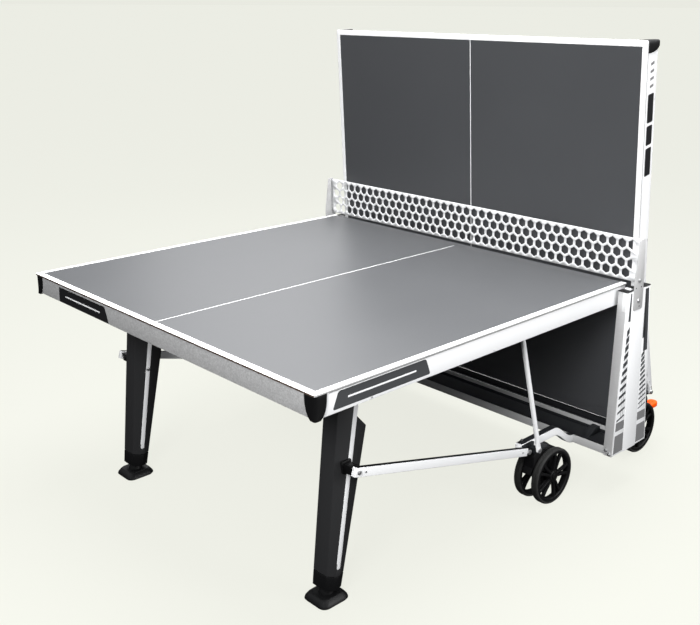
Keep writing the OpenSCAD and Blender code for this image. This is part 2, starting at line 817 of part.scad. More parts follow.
wheel(true, true, true);  // rear_left_outer_wheel
wheel(true, true, false);  // rear_left_inner_wheel
brake(true);  // rear_left_brake
fork(true, false);  // rear_right_fork
wheel(true, false, true);  // rear_right_outer_wheel
wheel(true, false, false);  // rear_right_inner_wheel
brake(false);  // rear_right_brake
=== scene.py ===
import json
import math

import bmesh
import bpy
from mathutils import Matrix, Vector

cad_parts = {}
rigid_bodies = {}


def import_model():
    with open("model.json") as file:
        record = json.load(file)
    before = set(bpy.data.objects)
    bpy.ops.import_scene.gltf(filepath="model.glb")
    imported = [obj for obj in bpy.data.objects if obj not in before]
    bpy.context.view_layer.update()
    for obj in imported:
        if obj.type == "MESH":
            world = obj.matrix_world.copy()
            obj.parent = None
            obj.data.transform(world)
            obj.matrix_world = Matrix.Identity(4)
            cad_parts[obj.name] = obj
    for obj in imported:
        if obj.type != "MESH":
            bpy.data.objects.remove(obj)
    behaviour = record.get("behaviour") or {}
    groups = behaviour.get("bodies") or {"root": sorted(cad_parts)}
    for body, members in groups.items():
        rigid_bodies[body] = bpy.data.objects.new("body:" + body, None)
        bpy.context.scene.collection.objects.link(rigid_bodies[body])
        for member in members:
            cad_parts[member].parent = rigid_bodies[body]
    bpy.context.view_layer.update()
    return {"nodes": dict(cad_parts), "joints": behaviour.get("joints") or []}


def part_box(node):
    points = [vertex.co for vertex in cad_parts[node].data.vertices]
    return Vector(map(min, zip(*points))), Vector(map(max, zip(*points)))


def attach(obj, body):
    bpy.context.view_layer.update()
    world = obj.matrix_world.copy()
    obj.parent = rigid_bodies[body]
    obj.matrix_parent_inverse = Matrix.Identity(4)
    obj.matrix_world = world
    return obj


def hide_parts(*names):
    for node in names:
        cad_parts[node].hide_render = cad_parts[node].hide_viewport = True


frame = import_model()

# The looks of a folding ping pong table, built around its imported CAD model.
# Shapes are drawn in millimetres as the CAD model is: Y is counted from the net plane, and a
# half of the table is drawn flat, reaching towards -Y, before it is placed on its body.

MM = 0.001
SCENE = bpy.context.scene
SCENE.view_settings.view_transform = "Standard"


# ---- places

def node_box(*nodes):
    """Lowest and highest corner, in drawing millimetres, of CAD nodes of the flat half or base."""
    lows, highs = zip(*(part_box(n) for n in nodes))
    shift = Vector((0, NET_Y, 0))
    return [(Vector([pick(axis) for axis in zip(*corners)]) - shift) / MM
            for pick, corners in ((min, lows), (max, highs))]


NET_Y = sum(corner.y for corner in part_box("net")) / 2
DRAWING = Matrix.Translation((0, NET_Y, 0)) @ Matrix.Scale(MM, 4)
MIRROR_X, MIRROR_Y = Matrix.Scale(-1, 4, (1, 0, 0)), Matrix.Scale(-1, 4, (0, 1, 0))
OTHER_END = Matrix.Translation((0, NET_Y, 0)) @ MIRROR_Y @ Matrix.Translation((0, -NET_Y, 0))
JOINT_OF = {joint["child"]: joint for joint in frame["joints"]}


def pivot(joint_child):
    """A hinge's [y, z], in drawing millimetres."""
    pos = Vector(JOINT_OF[joint_child]["pos_m"])
    return (pos.y - NET_Y) / MM, pos.z / MM


def at_limit(body):
    """How a body has moved when its joint and those above it are at their far limits."""
    if body not in JOINT_OF:
        return Matrix.Identity(4)
    joint = JOINT_OF[body]
    axis = Vector(joint["axis"])
    if joint["type"] == "slide":
        move = Matrix.Translation(axis * joint["range_m"][1])
    else:
        pos = Matrix.Translation(Vector(joint["pos_m"]))
        move = pos @ Matrix.Rotation(math.radians(joint["range_deg"][1]), 4, axis) @ pos.inverted()
    return at_limit(joint["parent"]) @ move


def placing(half, part):
    """From the drawing to the row frame; the rear half rests folded, as the front half folds."""
    if half == "front":
        return DRAWING
    return OTHER_END @ at_limit("front_" + part) @ DRAWING


# main sizes, in drawing millimetres
board_low, board_high = node_box("front_playing_surface")
rails_low, rails_high = node_box("front_side_rails", "front_end_rail")
HALF_W = board_high.x
END_Y = board_low.y
NET_EDGE = board_high.y
TOP_Z = board_high.z
BOARD_T = board_high.z - board_low.z
RAIL_X = rails_high.x
RAIL_Y = rails_low.y
APRON_LOW, APRON_TOP = rails_low.z, rails_high.z
LEG_Y, LEG_Z = pivot("front_legs")
LINK_Y, LINK_Z = pivot("front_links")
STRUT_Y, STRUT_Z = pivot("front_struts")


# ---- shader nodes

class Value:
    """A shader socket that can be used in arithmetic; each operation adds one Math node."""

    def __init__(self, nodes, socket):
        self.nodes, self.socket = nodes, socket

    def math(self, operation, other, clamp=False):
        settings = {"operation": operation, "use_clamp": clamp}
        return self.nodes.node("Math", settings, {0: self, 1: other})

    def __add__(self, other): return self.math("ADD", other)
    def __radd__(self, other): return self.math("ADD", other)
    def __mul__(self, other): return self.math("MULTIPLY", other)
    def __rmul__(self, other): return self.math("MULTIPLY", other)
    def __sub__(self, other): return self.math("SUBTRACT", other)
    def __rsub__(self, other): return self * -1 + other
    def clamped(self): return self.math("ADD", 0.0, clamp=True)


# a Mix node's sockets when it mixes colours
MIX_FACTOR, MIX_FIRST, MIX_SECOND, MIX_RESULT = 0, 6, 7, 2


class Nodes:
    """A node tree whose nodes all come from one method."""

    def __init__(self, owner):
        owner.use_nodes = True
        self.tree = owner.node_tree
        self.tree.nodes.clear()

    def node(self, kind, settings=None, values=None, output=0):
        """Adds a node: its settings, then its inputs by name or number. Returns one output."""
        node = self.tree.nodes.new("ShaderNode" + kind)
        for key, value in (settings or {}).items():
            setattr(node, key, value)
        for key, value in (values or {}).items():
            self.connect(node.inputs[key], value)
        return Value(self, node.outputs[output]) if node.outputs else None

    def connect(self, socket, value):
        """Links a value to a socket, or sets a constant on it; a colour may leave out its alpha."""
        if isinstance(value, Value):
            self.tree.links.new(value.socket, socket)
        else:
            socket.default_value = (*value, 1.0) if socket.type == "RGBA" else value

    def mix(self, factor, first, second):
        """Mixes two colours."""
        values = {MIX_FACTOR: factor, MIX_FIRST: first, MIX_SECOND: second}
        return self.node("Mix", {"data_type": "RGBA"}, values, MIX_RESULT)


class Finish(Nodes):
    """A material round one Principled shader."""

    def __init__(self, name):
        self.material = bpy.data.materials.new(name)
        super().__init__(self.material)
        surface = self.node("BsdfPrincipled")
        self.shader = surface.socket.node
        self.node("OutputMaterial", values={"Surface": surface})
        self.place = self.node("TexCoord", output="Object")

    def noise(self, scale, detail=3, roughness=0.5, vector=None):
        return self.node("TexNoise", values={"Vector": vector or self.place, "Scale": scale,
                                             "Detail": detail, "Roughness": roughness})

    def patches(self):
        """Slow patches that make a finish a little uneven."""
        return self.noise(2.3, detail=4)

    def bump(self, height, strength, distance):
        """A fine relief, its distance in metres."""
        values = {"Height": height, "Strength": strength, "Distance": distance}
        self.set(Normal=self.node("Bump", values=values))

    def set(self, **inputs):
        for key, value in inputs.items():
            self.connect(self.shader.inputs[key.replace("_", " ")], value)


# ---- finishes

def coating(name, grain, colours, roughness, relief=None, relief_grain=None, uneven=False,
            detail=2, **constants):
    """An even finish: a fine grain varies its roughness, and its colour unless patches do."""
    finish = Finish(name)
    fine = finish.noise(grain, detail=detail)
    spread = finish.patches() if uneven else fine
    least, more = roughness
    finish.set(Base_Color=finish.mix(spread, *colours), Roughness=least + fine * more, **constants)
    if relief:
        finish.bump(finish.noise(relief_grain) if relief_grain else fine, *relief)
    return finish.material


def playing_laminate():
    finish = Finish("playing_laminate")
    grain = finish.noise(900, detail=2)
    cloud = finish.noise(3.0, detail=5, roughness=0.55)
    finish.set(Base_Color=finish.mix(cloud, (0.052, 0.054, 0.058), (0.06, 0.062, 0.066)),
               Roughness=0.37 + cloud * 0.05 + grain * 0.03, Specular_IOR_Level=0.85)
    finish.bump(grain, 0.12, 0.0003)
    return finish.material


def laminate_edge():
    """The board's pressed layers, seen from the side."""
    finish = Finish("laminate_edge")
    layers = finish.node("TexWave", {"wave_type": "BANDS", "bands_direction": "Z"},
                         {"Vector": finish.place, "Scale": 420.0, "Distortion": 1.5}, output=1)
    finish.set(Base_Color=finish.mix(layers, (0.055, 0.038, 0.03), (0.1, 0.07, 0.055)),
               Roughness=0.6)
    return finish.material


def spangled_steel():
    """Galvanised sheet: small crystals that catch the light at different angles."""
    finish = Finish("spangled_steel")
    crystals = finish.node("TexVoronoi", {"feature": "F1"},
                           {"Vector": finish.place, "Scale": 260.0}, output=1)
    shade = finish.node("RGBToBW", values={"Color": crystals})
    sparkle = finish.noise(700, detail=2)
    tone = (shade * 0.55 + sparkle * 0.45).clamped()
    finish.set(Base_Color=finish.mix(tone, (0.3, 0.3, 0.3), (0.66, 0.66, 0.66)), Metallic=0.35,
               Roughness=0.34 + shade * 0.25)
    finish.bump(shade, 0.2, 0.0003)
    return finish.material


def sheet_steel():
    """Rolled sheet, with faint streaks across its height."""
    finish = Finish("sheet_steel")
    stretched = finish.node("Mapping", values={"Vector": finish.place, "Scale": (1, 1, 14)})
    streak = finish.noise(40, detail=4, vector=stretched)
    finish.set(Base_Color=finish.mix(streak, (0.5, 0.5, 0.5), (0.6, 0.6, 0.6)), Metallic=0.3,
               Roughness=0.36 + streak * 0.16)
    finish.bump(streak, 0.06, 0.0004)
    return finish.material


LAMINATE = playing_laminate()
LINE = coating("line_paint", 900, ((0.9, 0.9, 0.9), (0.84, 0.845, 0.85)), (0.38, 0.08),
               (0.1, 0.0003), uneven=True)
EDGE = laminate_edge()
WHITE = coating("white_powder", 420, ((0.78, 0.785, 0.79), (0.73, 0.735, 0.74)), (0.36, 0.1),
                (0.18, 0.0004), uneven=True)
SPANGLE = spangled_steel()
STEEL = sheet_steel()
ZINC = coating("bright_zinc", 220, ((0.62, 0.63, 0.64), (0.82, 0.82, 0.82)), (0.22, 0.16),
               detail=4, Metallic=0.9)
# black powder coat, also used as painted shade in the base tray and along the wheel arms' tops
BLACK_STEEL_AND_SHADE = coating("black_powder_and_painted_shade", 500, ((0.011, 0.012, 0.014), (0.02, 0.021, 0.023)),
                      (0.5, 0.14), (0.2, 0.0004), Specular_IOR_Level=0.3)
LEG = coating("leg_plastic", 650, ((0.017, 0.0172, 0.018), (0.022, 0.0222, 0.023)), (0.42, 0.12),
              (0.25, 0.0004), uneven=True, detail=3, Specular_IOR_Level=0.42)
BLACK = coating("smooth_black", 500, ((0.003, 0.003, 0.0033), (0.005, 0.005, 0.0053)),
                (0.42, 0.1), (0.1, 0.0003), Specular_IOR_Level=0.25)
RUBBER = coating("tread_rubber", 60, ((0.008, 0.008, 0.008), (0.02, 0.02, 0.019)), (0.62, 0.15),
                 (0.2, 0.0005), detail=5, relief_grain=400)
ORANGE = coating("orange_plastic", 300, ((1.0, 0.1, 0.001), (0.94, 0.088, 0.001)), (0.36, 0.08),
                 Specular_IOR_Level=0.3)
NET = coating("net_sheet", 800, ((0.72, 0.725, 0.73), (0.66, 0.665, 0.67)), (0.62, 0.1),
              (0.3, 0.0004), uneven=True)
GREY_INK = coating("grey_ink", 1200, ((0.15, 0.15, 0.152), (0.17, 0.17, 0.172)), (0.4, 0.06),
                   detail=1)
DARK_INK = coating("dark_ink", 1200, ((0.04, 0.042, 0.045), (0.05, 0.052, 0.055)), (0.4, 0.06),
                   detail=1)
BLACK_INK = coating("black_ink", 1200, ((0.007, 0.007, 0.008), (0.012, 0.012, 0.013)),
                    (0.35, 0.06), detail=1)


# ---- solids

# for a solid drawn along an axis: the axes of its outline's two numbers, then its own
TURN = {"x": (1, 2, 0), "y": (0, 2, 1), "z": (0, 1, 2)}
SHARP, RIM = math.radians(25), math.radians(50)
ALIGNED = 0.9


def raised(point, along, depth):
    """A point of an outline drawn across an axis, at some depth along that axis."""
    first, second, third = TURN[along]
    out = Vector((0, 0, 0))
    out[first], out[second], out[third] = point[0], point[1], depth
    return out


def edges_along(mesh, axis):
    """The edges that run along an axis."""
    number = "xyz".index(axis)
    return [e for e in mesh.edges
            if abs((e.verts[0].co - e.verts[1].co).normalized()[number]) > ALIGNED]


def round_edges(mesh, edge, segments=2, edges=None):
    """Bevels the given edges, or all the sharp ones."""
    if edge <= 0:
        return mesh
    if edges is None:
        edges = [e for e in mesh.edges
                 if len(e.link_faces) == 2 and e.calc_face_angle(0) > SHARP]
    bmesh.ops.bevel(mesh, geom=edges, offset=edge, offset_type="OFFSET", segments=segments,
                    profile=0.5, affect="EDGES", clamp_overlap=True, material=-1)
    return mesh


def block(low, high, edge=0.6, segments=2):
    """A box between two corners, with soft edges."""
    mesh = bmesh.new()
    bmesh.ops.create_cube(mesh, size=1)
    low, high = Vector(low), Vector(high)
    bmesh.ops.scale(mesh, vec=high - low, verts=mesh.verts)
    bmesh.ops.translate(mesh, vec=(low + high) / 2, verts=mesh.verts)
    return round_edges(mesh, edge, segments)


def plate(outline, along, start, end, edge=0.6, segments=2):
    """A flat outline given thickness along an axis."""
    mesh = bmesh.new()
    face = mesh.faces.new([mesh.verts.new(raised(p, along, start)) for p in outline])
    new = bmesh.ops.extrude_face_region(mesh, geom=[face])["geom"]
    bmesh.ops.translate(mesh, vec=raised((0, 0), along, end - start),
                        verts=[v for v in new if isinstance(v, bmesh.types.BMVert)])
    bmesh.ops.recalc_face_normals(mesh, faces=mesh.faces)
    return round_edges(mesh, edge, segments)


def rod(start, end, radius, edge=0.8, sides=32, end_radius=None):
    """A round bar or a cone between two points."""
    start, end = Vector(start), Vector(end)
    mesh = bmesh.new()
    bmesh.ops.create_cone(mesh, cap_ends=True, segments=sides, radius1=radius,
                          radius2=radius if end_radius is None else end_radius,
                          depth=(end - start).length)
    turn = Vector((0, 0, 1)).rotation_difference(end - start).to_matrix().to_4x4()
    bmesh.ops.transform(mesh, matrix=Matrix.Translation((start + end) / 2) @ turn, verts=mesh.verts)
    return round_edges(mesh, edge, 2, [e for e in mesh.edges if e.calc_face_angle(0) > RIM])


def pin(start_x, end_x, centre, radius, **shape):
    """A rod across the table, centred on a (y, z) point."""
    return rod((start_x, *centre), (end_x, *centre), radius, **shape)


def lathe(profile, centre, steps=48):
    """A closed outline of (radius, depth) points spun about a line along X through the centre."""
    mesh = bmesh.new()
    verts = [mesh.verts.new((depth, radius, 0)) for radius, depth in profile]
    edges = [mesh.edges.new(pair) for pair in zip(verts, verts[1:] + verts[:1])]
    bmesh.ops.spin(mesh, geom=verts + edges, cent=(0, 0, 0), axis=(1, 0, 0), angle=math.tau,
                   steps=steps, use_merge=True)
    bmesh.ops.remove_doubles(mesh, verts=mesh.verts, dist=0.001)
    bmesh.ops.recalc_face_normals(mesh, faces=mesh.faces)
    bmesh.ops.translate(mesh, vec=centre, verts=mesh.verts)
    return mesh


def loft(first, second, along, start, end, edge=1.0, segments=3):
    """A solid between two outlines with the same number of points, across one axis."""
    mesh = bmesh.new()
    loops = []
    for outline, depth in ((first, start), (second, end)):
        face = mesh.faces.new([mesh.verts.new(raised(p, along, depth)) for p in outline])
        loops.append(list(face.edges))
    bmesh.ops.bridge_loops(mesh, edges=loops[0] + loops[1])
    bmesh.ops.recalc_face_normals(mesh, faces=mesh.faces)
    return round_edges(mesh, edge, segments)


def hexagon_head(start, end, across):
    """A hexagon head with its corners chamfered."""
    return rod(start, end, across / math.sqrt(3), edge=0.5, sides=6)


def arc(centre, radius, first, last, steps=8):
    """Points of an arc, angles in degrees."""
    angles = [math.radians(first + (last - first) * i / steps) for i in range(steps + 1)]
    return [(centre[0] + radius * math.cos(a), centre[1] + radius * math.sin(a)) for a in angles]


def moved(mesh, matrix):
    """Transforms a mesh, and keeps its faces outward when mirrored."""
    bmesh.ops.transform(mesh, matrix=matrix, verts=mesh.verts)
    if matrix.determinant() < 0:
        bmesh.ops.reverse_faces(mesh, faces=mesh.faces)
    return mesh


# ---- pieces

SMOOTH_ANGLE = math.radians(32)


def new_object(name, mesh, *materials):
    """An object in the scene, made from a bmesh."""
    data = bpy.data.meshes.new(name)
    mesh.to_mesh(data)
    mesh.free()
    for material in materials:
        data.materials.append(material)
    made = bpy.data.objects.new(name, data)
    SCENE.collection.objects.link(made)
    return made


class Piece:
    """One visible piece, gathered from solids in drawing millimetres."""

    def __init__(self, name, *materials):
        self.name, self.materials, self.mesh = name, materials, bmesh.new()

    def add(self, solid, material=0, keep=False):
        """Takes in a solid; keep leaves the material numbers that its faces have."""
        if not keep:
            for face in solid.faces:
                face.material_index = material
        carrier = bpy.data.meshes.new("carrier")
        solid.to_mesh(carrier)
        solid.free()
        self.mesh.from_mesh(carrier)
        bpy.data.meshes.remove(carrier)
        return self

    def twinned(self, mirror):
        """Adds the mirror image."""
        return self.add(moved(self.mesh.copy(), mirror), keep=True)

    def both_sides(self):
        return self.twinned(MIRROR_X)

    def finish(self, body, matrix, node, slot):
        """Makes the object, which rides on a body and stands for a CAD node."""
        moved(self.mesh, matrix)
        for face in self.mesh.faces:
            face.smooth = True
        for edge in self.mesh.edges:
            edge.smooth = edge.calc_face_angle(0) < SMOOTH_ANGLE
        piece = new_object(self.name, self.mesh, *self.materials)
        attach(piece, body)
        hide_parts(node)
        return piece

    def on_half(self, half, part, node, slot):
        return self.finish(f"{half}_{part}", placing(half, part), f"{half}_{node}", slot)

    def on_base(self, node, slot):
        return self.finish("base", DRAWING, node, slot)


# ---- camera, floor and light

CAMERA_PLACE = (2427, -2679, 1664)
CAMERA_AZIMUTH, CAMERA_ELEVATION, CAMERA_ROLL = (math.radians(a) for a in (43.73, 16.28, 0.33))
CAMERA_LENS, CAMERA_SHIFT, CAMERA_REACH = 48.6, (-0.127, -0.0467), 2000
FLOOR_SIZE = 600
BACKDROP = (0.815, 0.823, 0.754)
SKY_LOW, SKY_HIGH = (0.025, 0.025, 0.026), (0.95, 0.97, 0.99)
SKY_SLOPE, SKY_START = 2.4, 0.4
# name, place, aim, size and watts of each soft light, in metres
LIGHTS = [("overhead", (0.3, 0.5, 4.3), (0.2, -0.6, 0), 3.0, 360),
          ("right", (4.2, 1.1, 1.9), (0.7, 0.1, 0.7), 1.7, 105),
          ("front", (2.2, -3.5, 2.7), (0.4, 0.3, 1.0), 1.6, 215),
          ("behind", (-3.3, 2.1, 2.8), (-0.1, -0.4, 0.76), 2.4, 30)]


def set_camera():
    camera = bpy.data.objects.new("camera", bpy.data.cameras.new("camera"))
    SCENE.collection.objects.link(camera)
    camera.location = DRAWING @ Vector(CAMERA_PLACE)
    camera.rotation_euler = (Matrix.Rotation(CAMERA_AZIMUTH, 4, "Z")
                             @ Matrix.Rotation(math.pi / 2 - CAMERA_ELEVATION, 4, "X")
                             @ Matrix.Rotation(CAMERA_ROLL, 4, "Z")).to_euler()
    camera.data.lens, camera.data.clip_end = CAMERA_LENS, CAMERA_REACH
    camera.data.shift_x, camera.data.shift_y = CAMERA_SHIFT
    SCENE.camera = camera


def lay_floor():
    """A pale floor that lights nothing and isn't mirrored in the table."""
    paper = Finish("floor_paper")
    shade = paper.mix(paper.noise(0.7), (0.05, 0.0505, 0.0465), (0.054, 0.0545, 0.05))
    paper.set(Base_Color=shade, Roughness=0.8, Specular_IOR_Level=0.0,
              Emission_Color=(0.855, 0.863, 0.791), Emission_Strength=0.93)
    mesh = bmesh.new()
    bmesh.ops.create_grid(mesh, x_segments=1, y_segments=1, size=FLOOR_SIZE)
    floor = new_object("floor", mesh, paper.material)
    floor.visible_diffuse = floor.visible_glossy = False


def light_studio():
    """A sky that is bright above and dark below, a plain backdrop and soft lights."""
    world = bpy.data.worlds.new("studio")
    sky = Nodes(world)
    direction = sky.node("TexCoord", output="Generated")
    height = sky.node("SeparateXYZ", values={0: direction}, output="Z")
    shade = sky.mix((height * SKY_SLOPE - SKY_START).clamped(), SKY_LOW, SKY_HIGH)
    seen = sky.mix(sky.node("LightPath", output="Is Camera Ray"), shade, BACKDROP)
    background = sky.node("Background", values={"Color": seen})
    sky.node("OutputWorld", values={"Surface": background})
    SCENE.world = world
    for name, place, aim, size, watts in LIGHTS:
        light = bpy.data.objects.new(name, bpy.data.lights.new(name, "AREA"))
        light.data.energy, light.data.size = watts, size
        light.location = place
        toward = Vector(aim) - Vector(place)
        light.rotation_euler = toward.to_track_quat("-Z", "Y").to_euler()
        # the front light would leave a white glare on the tops
        light.visible_glossy = name != "front"
        SCENE.collection.objects.link(light)


# ---- playing surfaces and aprons

LINE_W = 20
CENTRE_LINE_W = 3.2
CENTRE_LINE_END = -58
BOARD_SKIN = 0.9
PLAIN, PAINTED, END_EDGE, UNDERSIDE, SIDE_EDGE = range(5)


def board(half):
    """The laminate, with its painted lines cut into the mesh."""
    solid = block((-HALF_W, END_Y, TOP_Z - BOARD_T), (HALF_W, NET_EDGE, TOP_Z), edge=0)
    corners = [e for e in edges_along(solid, "z") if e.verts[0].co.y < END_Y + 1]
    round_edges(solid, 7, 5, corners)
    round_edges(solid, 0.7, 2)
    cuts = [("x", -HALF_W + LINE_W), ("x", HALF_W - LINE_W), ("x", -CENTRE_LINE_W / 2),
            ("x", CENTRE_LINE_W / 2), ("y", END_Y + LINE_W), ("y", CENTRE_LINE_END)]
    for axis, where in cuts:
        normal = Vector((axis == "x", axis == "y", 0))
        bmesh.ops.bisect_plane(solid, geom=solid.verts[:] + solid.edges[:] + solid.faces[:],
                               plane_co=normal * where, plane_no=normal)
    for face in solid.faces:
        middle = face.calc_center_median()
        border = abs(middle.x) > HALF_W - LINE_W or middle.y < END_Y + LINE_W
        centre = abs(middle.x) < CENTRE_LINE_W / 2 and middle.y < CENTRE_LINE_END
        if middle.z < TOP_Z - BOARD_T + BOARD_SKIN:
            face.material_index = UNDERSIDE
        elif middle.z > TOP_Z - BOARD_SKIN:
            face.material_index = PAINTED if border or centre else PLAIN
        else:
            face.material_index = SIDE_EDGE if abs(face.normal.x) > 0.5 else END_EDGE
    piece = Piece(half + "_board", LAMINATE, LINE, EDGE, BLACK_STEEL_AND_SHADE, STEEL).add(solid, keep=True)
    piece.on_half(half, "top", "playing_surface", "playing_laminate")


def channel(along, outer, inner, low, high, start, end, wall=2.0, edge=1.2):
    """A folded C rail, open from its outer face towards its inner side."""
    t = wall if inner > outer else -wall
    outline = [(outer, low), (inner, low), (inner, low + wall), (outer + t, low + wall),
               (outer + t, high - wall), (inner, high - wall), (inner, high), (outer, high)]
    mesh = plate(outline, along, start, end, edge=0)
    bends = [e for e in edges_along(mesh, along)
             if len(e.link_faces) == 2 and e.calc_face_angle(0) > 1
             and all(abs(v.co[TURN[along][0]] - outer) < 0.1 for v in e.verts)]
    round_edges(mesh, edge, 3, bends)
    return mesh


def slanted(start, end, low, high, lean=0, lean_end=None, corner=5):
    """A label shape with leaning ends and round corners, as (along, up) points."""
    lean_end = lean if lean_end is None else lean_end
    sharp = [Vector(p) for p in ((start, low), (end, low), (end + lean_end, high),
                                 (start + lean, high))]
    out = []
    for i, point in enumerate(sharp):
        before = point + (sharp[i - 1] - point).normalized() * corner
        after = point + (sharp[(i + 1) % 4] - point).normalized() * corner
        out += [tuple(before * (1 - t) ** 2 + point * 2 * t * (1 - t) + after * t * t)
                for t in (0, 0.3, 0.7, 1)]
    return out


def printed(piece, side, outline, depth, material):
    """A thin print on the outside of a side apron."""
    x = side * RAIL_X
    start, end = sorted((x, x + side * depth))
    piece.add(plate(outline, "x", start, end, edge=0), material)


def plain_label(piece, side):
    """A dark label with one plain line, on the side apron near the outer corner."""
    low, high = APRON_LOW + 9, APRON_LOW + 56
    label = slanted(END_Y + 60, END_Y + 404, low, high, 20, -16, corner=7)
    printed(piece, side, label, 0.35, DARK)
    line = slanted(END_Y + 110, END_Y + 350, low + 21, low + 26, corner=1)
    printed(piece, side, line, 0.6, 0)


def plain_marks(piece, side):
    """Small grey dashes and black blocks, on the side apron that has no label."""
    low, high = APRON_LOW + 12, APRON_LOW + 46
    for i in range(4):
        start = END_Y + 66 + i * 24
        printed(piece, side, slanted(start, start + 9, low + 6, high - 8, 7, corner=1), 0.35, GREY)
    for start, end in ((168, 262), (272, 336), (346, 440)):
        block_shape = slanted(END_Y + start, END_Y + end, low, high, 6, corner=6)
        printed(piece, side, block_shape, 0.35, BLACKEST)


ZINC_SLOT, DARK, GREY, BLACKEST, GROOVE_SHADE = range(1, 6)
RAIL_DEPTH = 25


def side_rails(half):
    piece = Piece(half + "_side_rail_pair", WHITE, ZINC, DARK_INK, GREY_INK, BLACK_INK, SPANGLE)
    back = RAIL_Y + RAIL_DEPTH
    piece.add(channel("y", RAIL_X, RAIL_X - RAIL_DEPTH, APRON_LOW, APRON_TOP, back, NET_EDGE))
    # a grey strip along the top of the apron: painted shade under the laminate's overhang
    piece.add(block((RAIL_X - 1, back + 20, APRON_TOP - 4.4),
                    (RAIL_X + 0.3, NET_EDGE - 3, APRON_TOP - 0.4), 0.2), GROOVE_SHADE)
    for y in (back + 160, back + 640, NET_EDGE - 140):
        rivet = pin(RAIL_X - 3, RAIL_X + 0.5, (y, APRON_LOW + 5), 2.6, edge=0.4, sides=20)
        piece.add(rivet, ZINC_SLOT)
    piece.both_sides()
    labelled = 1 if half == "front" else -1
    plain_label(piece, labelled)
    plain_marks(piece, -labelled)
    piece.on_half(half, "top", "side_rails", "white_paint")


def end_rail(half):
    piece = Piece(half + "_end_apron", SPANGLE, BLACK_INK, WHITE)
    piece.add(channel("x", RAIL_Y, RAIL_Y + RAIL_DEPTH, APRON_LOW, APRON_TOP, -RAIL_X, RAIL_X))
    label = slanted(-RAIL_X + 155, -RAIL_X + 494, APRON_LOW + 2, APRON_LOW + 53, 6, -20,
                    corner=6)
    piece.add(plate(label, "y", RAIL_Y - 0.35, RAIL_Y, edge=0), 1)
    line = slanted(-RAIL_X + 204, -RAIL_X + 440, APRON_LOW + 25, APRON_LOW + 30, corner=1)
    piece.add(plate(line, "y", RAIL_Y - 0.6, RAIL_Y - 0.3, edge=0), 2)
    piece.on_half(half, "top", "end_rail", "galvanised")


def corner_caps(half):
    """Tapered plastic guards on the outer corners."""
    reach, low = 41, APRON_LOW - 4
    solid = block((HALF_W - reach, END_Y, low), (HALF_W, END_Y + reach, APRON_TOP), edge=0)
    outer = [e for e in edges_along(solid, "z")
             if e.verts[0].co.x > HALF_W - 1 and e.verts[0].co.y < END_Y + 1]
    round_edges(solid, 15, 6, outer)
    bmesh.ops.subdivide_edges(solid, edges=edges_along(solid, "z"), cuts=7)
    height = APRON_TOP - low
    for v in solid.verts:
        drop = (APRON_TOP - v.co.z) / height
        narrow = 1 - 0.36 * drop ** 2.4 - 0.16 * max(0, drop - 0.8) / 0.2
        v.co.x = HALF_W - (HALF_W - v.co.x) * narrow
        v.co.y = END_Y + (v.co.y - END_Y) * narrow
    round_edges(solid, 2.0, 3)
    piece = Piece(half + "_corner_guards", BLACK).add(solid).both_sides()
    piece.on_half(half, "top", "corner_caps", "moulded_black")


# ---- legs

LEAN = 9.5
LEG_X = 546
LEG_HALF_W, FACE_HALF_W = 45, 30
SLOT_FRONT, SLOT_REAR, SLOT_END = -13, 3, -608
SLOT_MID = (SLOT_FRONT + SLOT_REAR) / 2
# how far below the leg's pivot the covers start and end, and where the leg ends
FRONT_DROP, REAR_DROP, REAR_RISE = 70, 195, 38
JOIN_DROP, END_DROP = 636, 682
FRONT_DEPTHS, REAR_DEPTHS = (33, 62), (30, 55)
ALONG_LEG = (Matrix.Translation((LEG_X, LEG_Y, LEG_Z))
             @ Matrix.Rotation(math.radians(-LEAN), 4, "X"))


def section(side, depth):
    """Half of the leg's hexagonal section: side is -1 at the front and 1 at the rear."""
    crease, slot = 1.5, SLOT_FRONT if side < 0 else SLOT_REAR
    return [(-LEG_HALF_W, slot), (-FACE_HALF_W, side * depth), (0, side * (depth + crease)),
            (FACE_HALF_W, side * depth), (LEG_HALF_W, slot)]


def leg_shells(half):
    piece = Piece(half + "_leg_covers", LEG)
    low, high = (section(-1, depth) for depth in FRONT_DEPTHS)
    piece.add(moved(loft(low, high, "z", -JOIN_DROP, -FRONT_DROP, edge=1.6), ALONG_LEG))
    low, high = (section(1, depth) for depth in REAR_DEPTHS)
    rear = loft(low, high, "z", -JOIN_DROP, -REAR_DROP, edge=0)
    for v in rear.verts:
        if v.co.z > -REAR_DROP - 1:
            v.co.z += REAR_RISE * (1 - (v.co.y - SLOT_REAR) / (REAR_DEPTHS[1] - SLOT_REAR))
    piece.add(moved(round_edges(rear, 1.6, 3), ALONG_LEG))
    # the covers close under the steel strip, with a round end to the slot
    wide = (SLOT_REAR - SLOT_FRONT) / 2 - 0.8
    front, rear, shoulder = SLOT_FRONT - 2, SLOT_REAR + 2, SLOT_END + 12
    notch = [(front, -JOIN_DROP), (rear, -JOIN_DROP), (rear, shoulder), (SLOT_MID + wide, shoulder)]
    notch += arc((SLOT_MID, SLOT_END), wide, 0, -180, 12)
    notch += [(SLOT_MID - wide, shoulder), (front, shoulder)]
    closed = plate(notch, "x", -LEG_HALF_W - 0.2, LEG_HALF_W + 0.2, edge=0.3)
    piece.add(moved(closed, ALONG_LEG))
    piece.both_sides().on_half(half, "legs", "leg_shells", "leg_black")


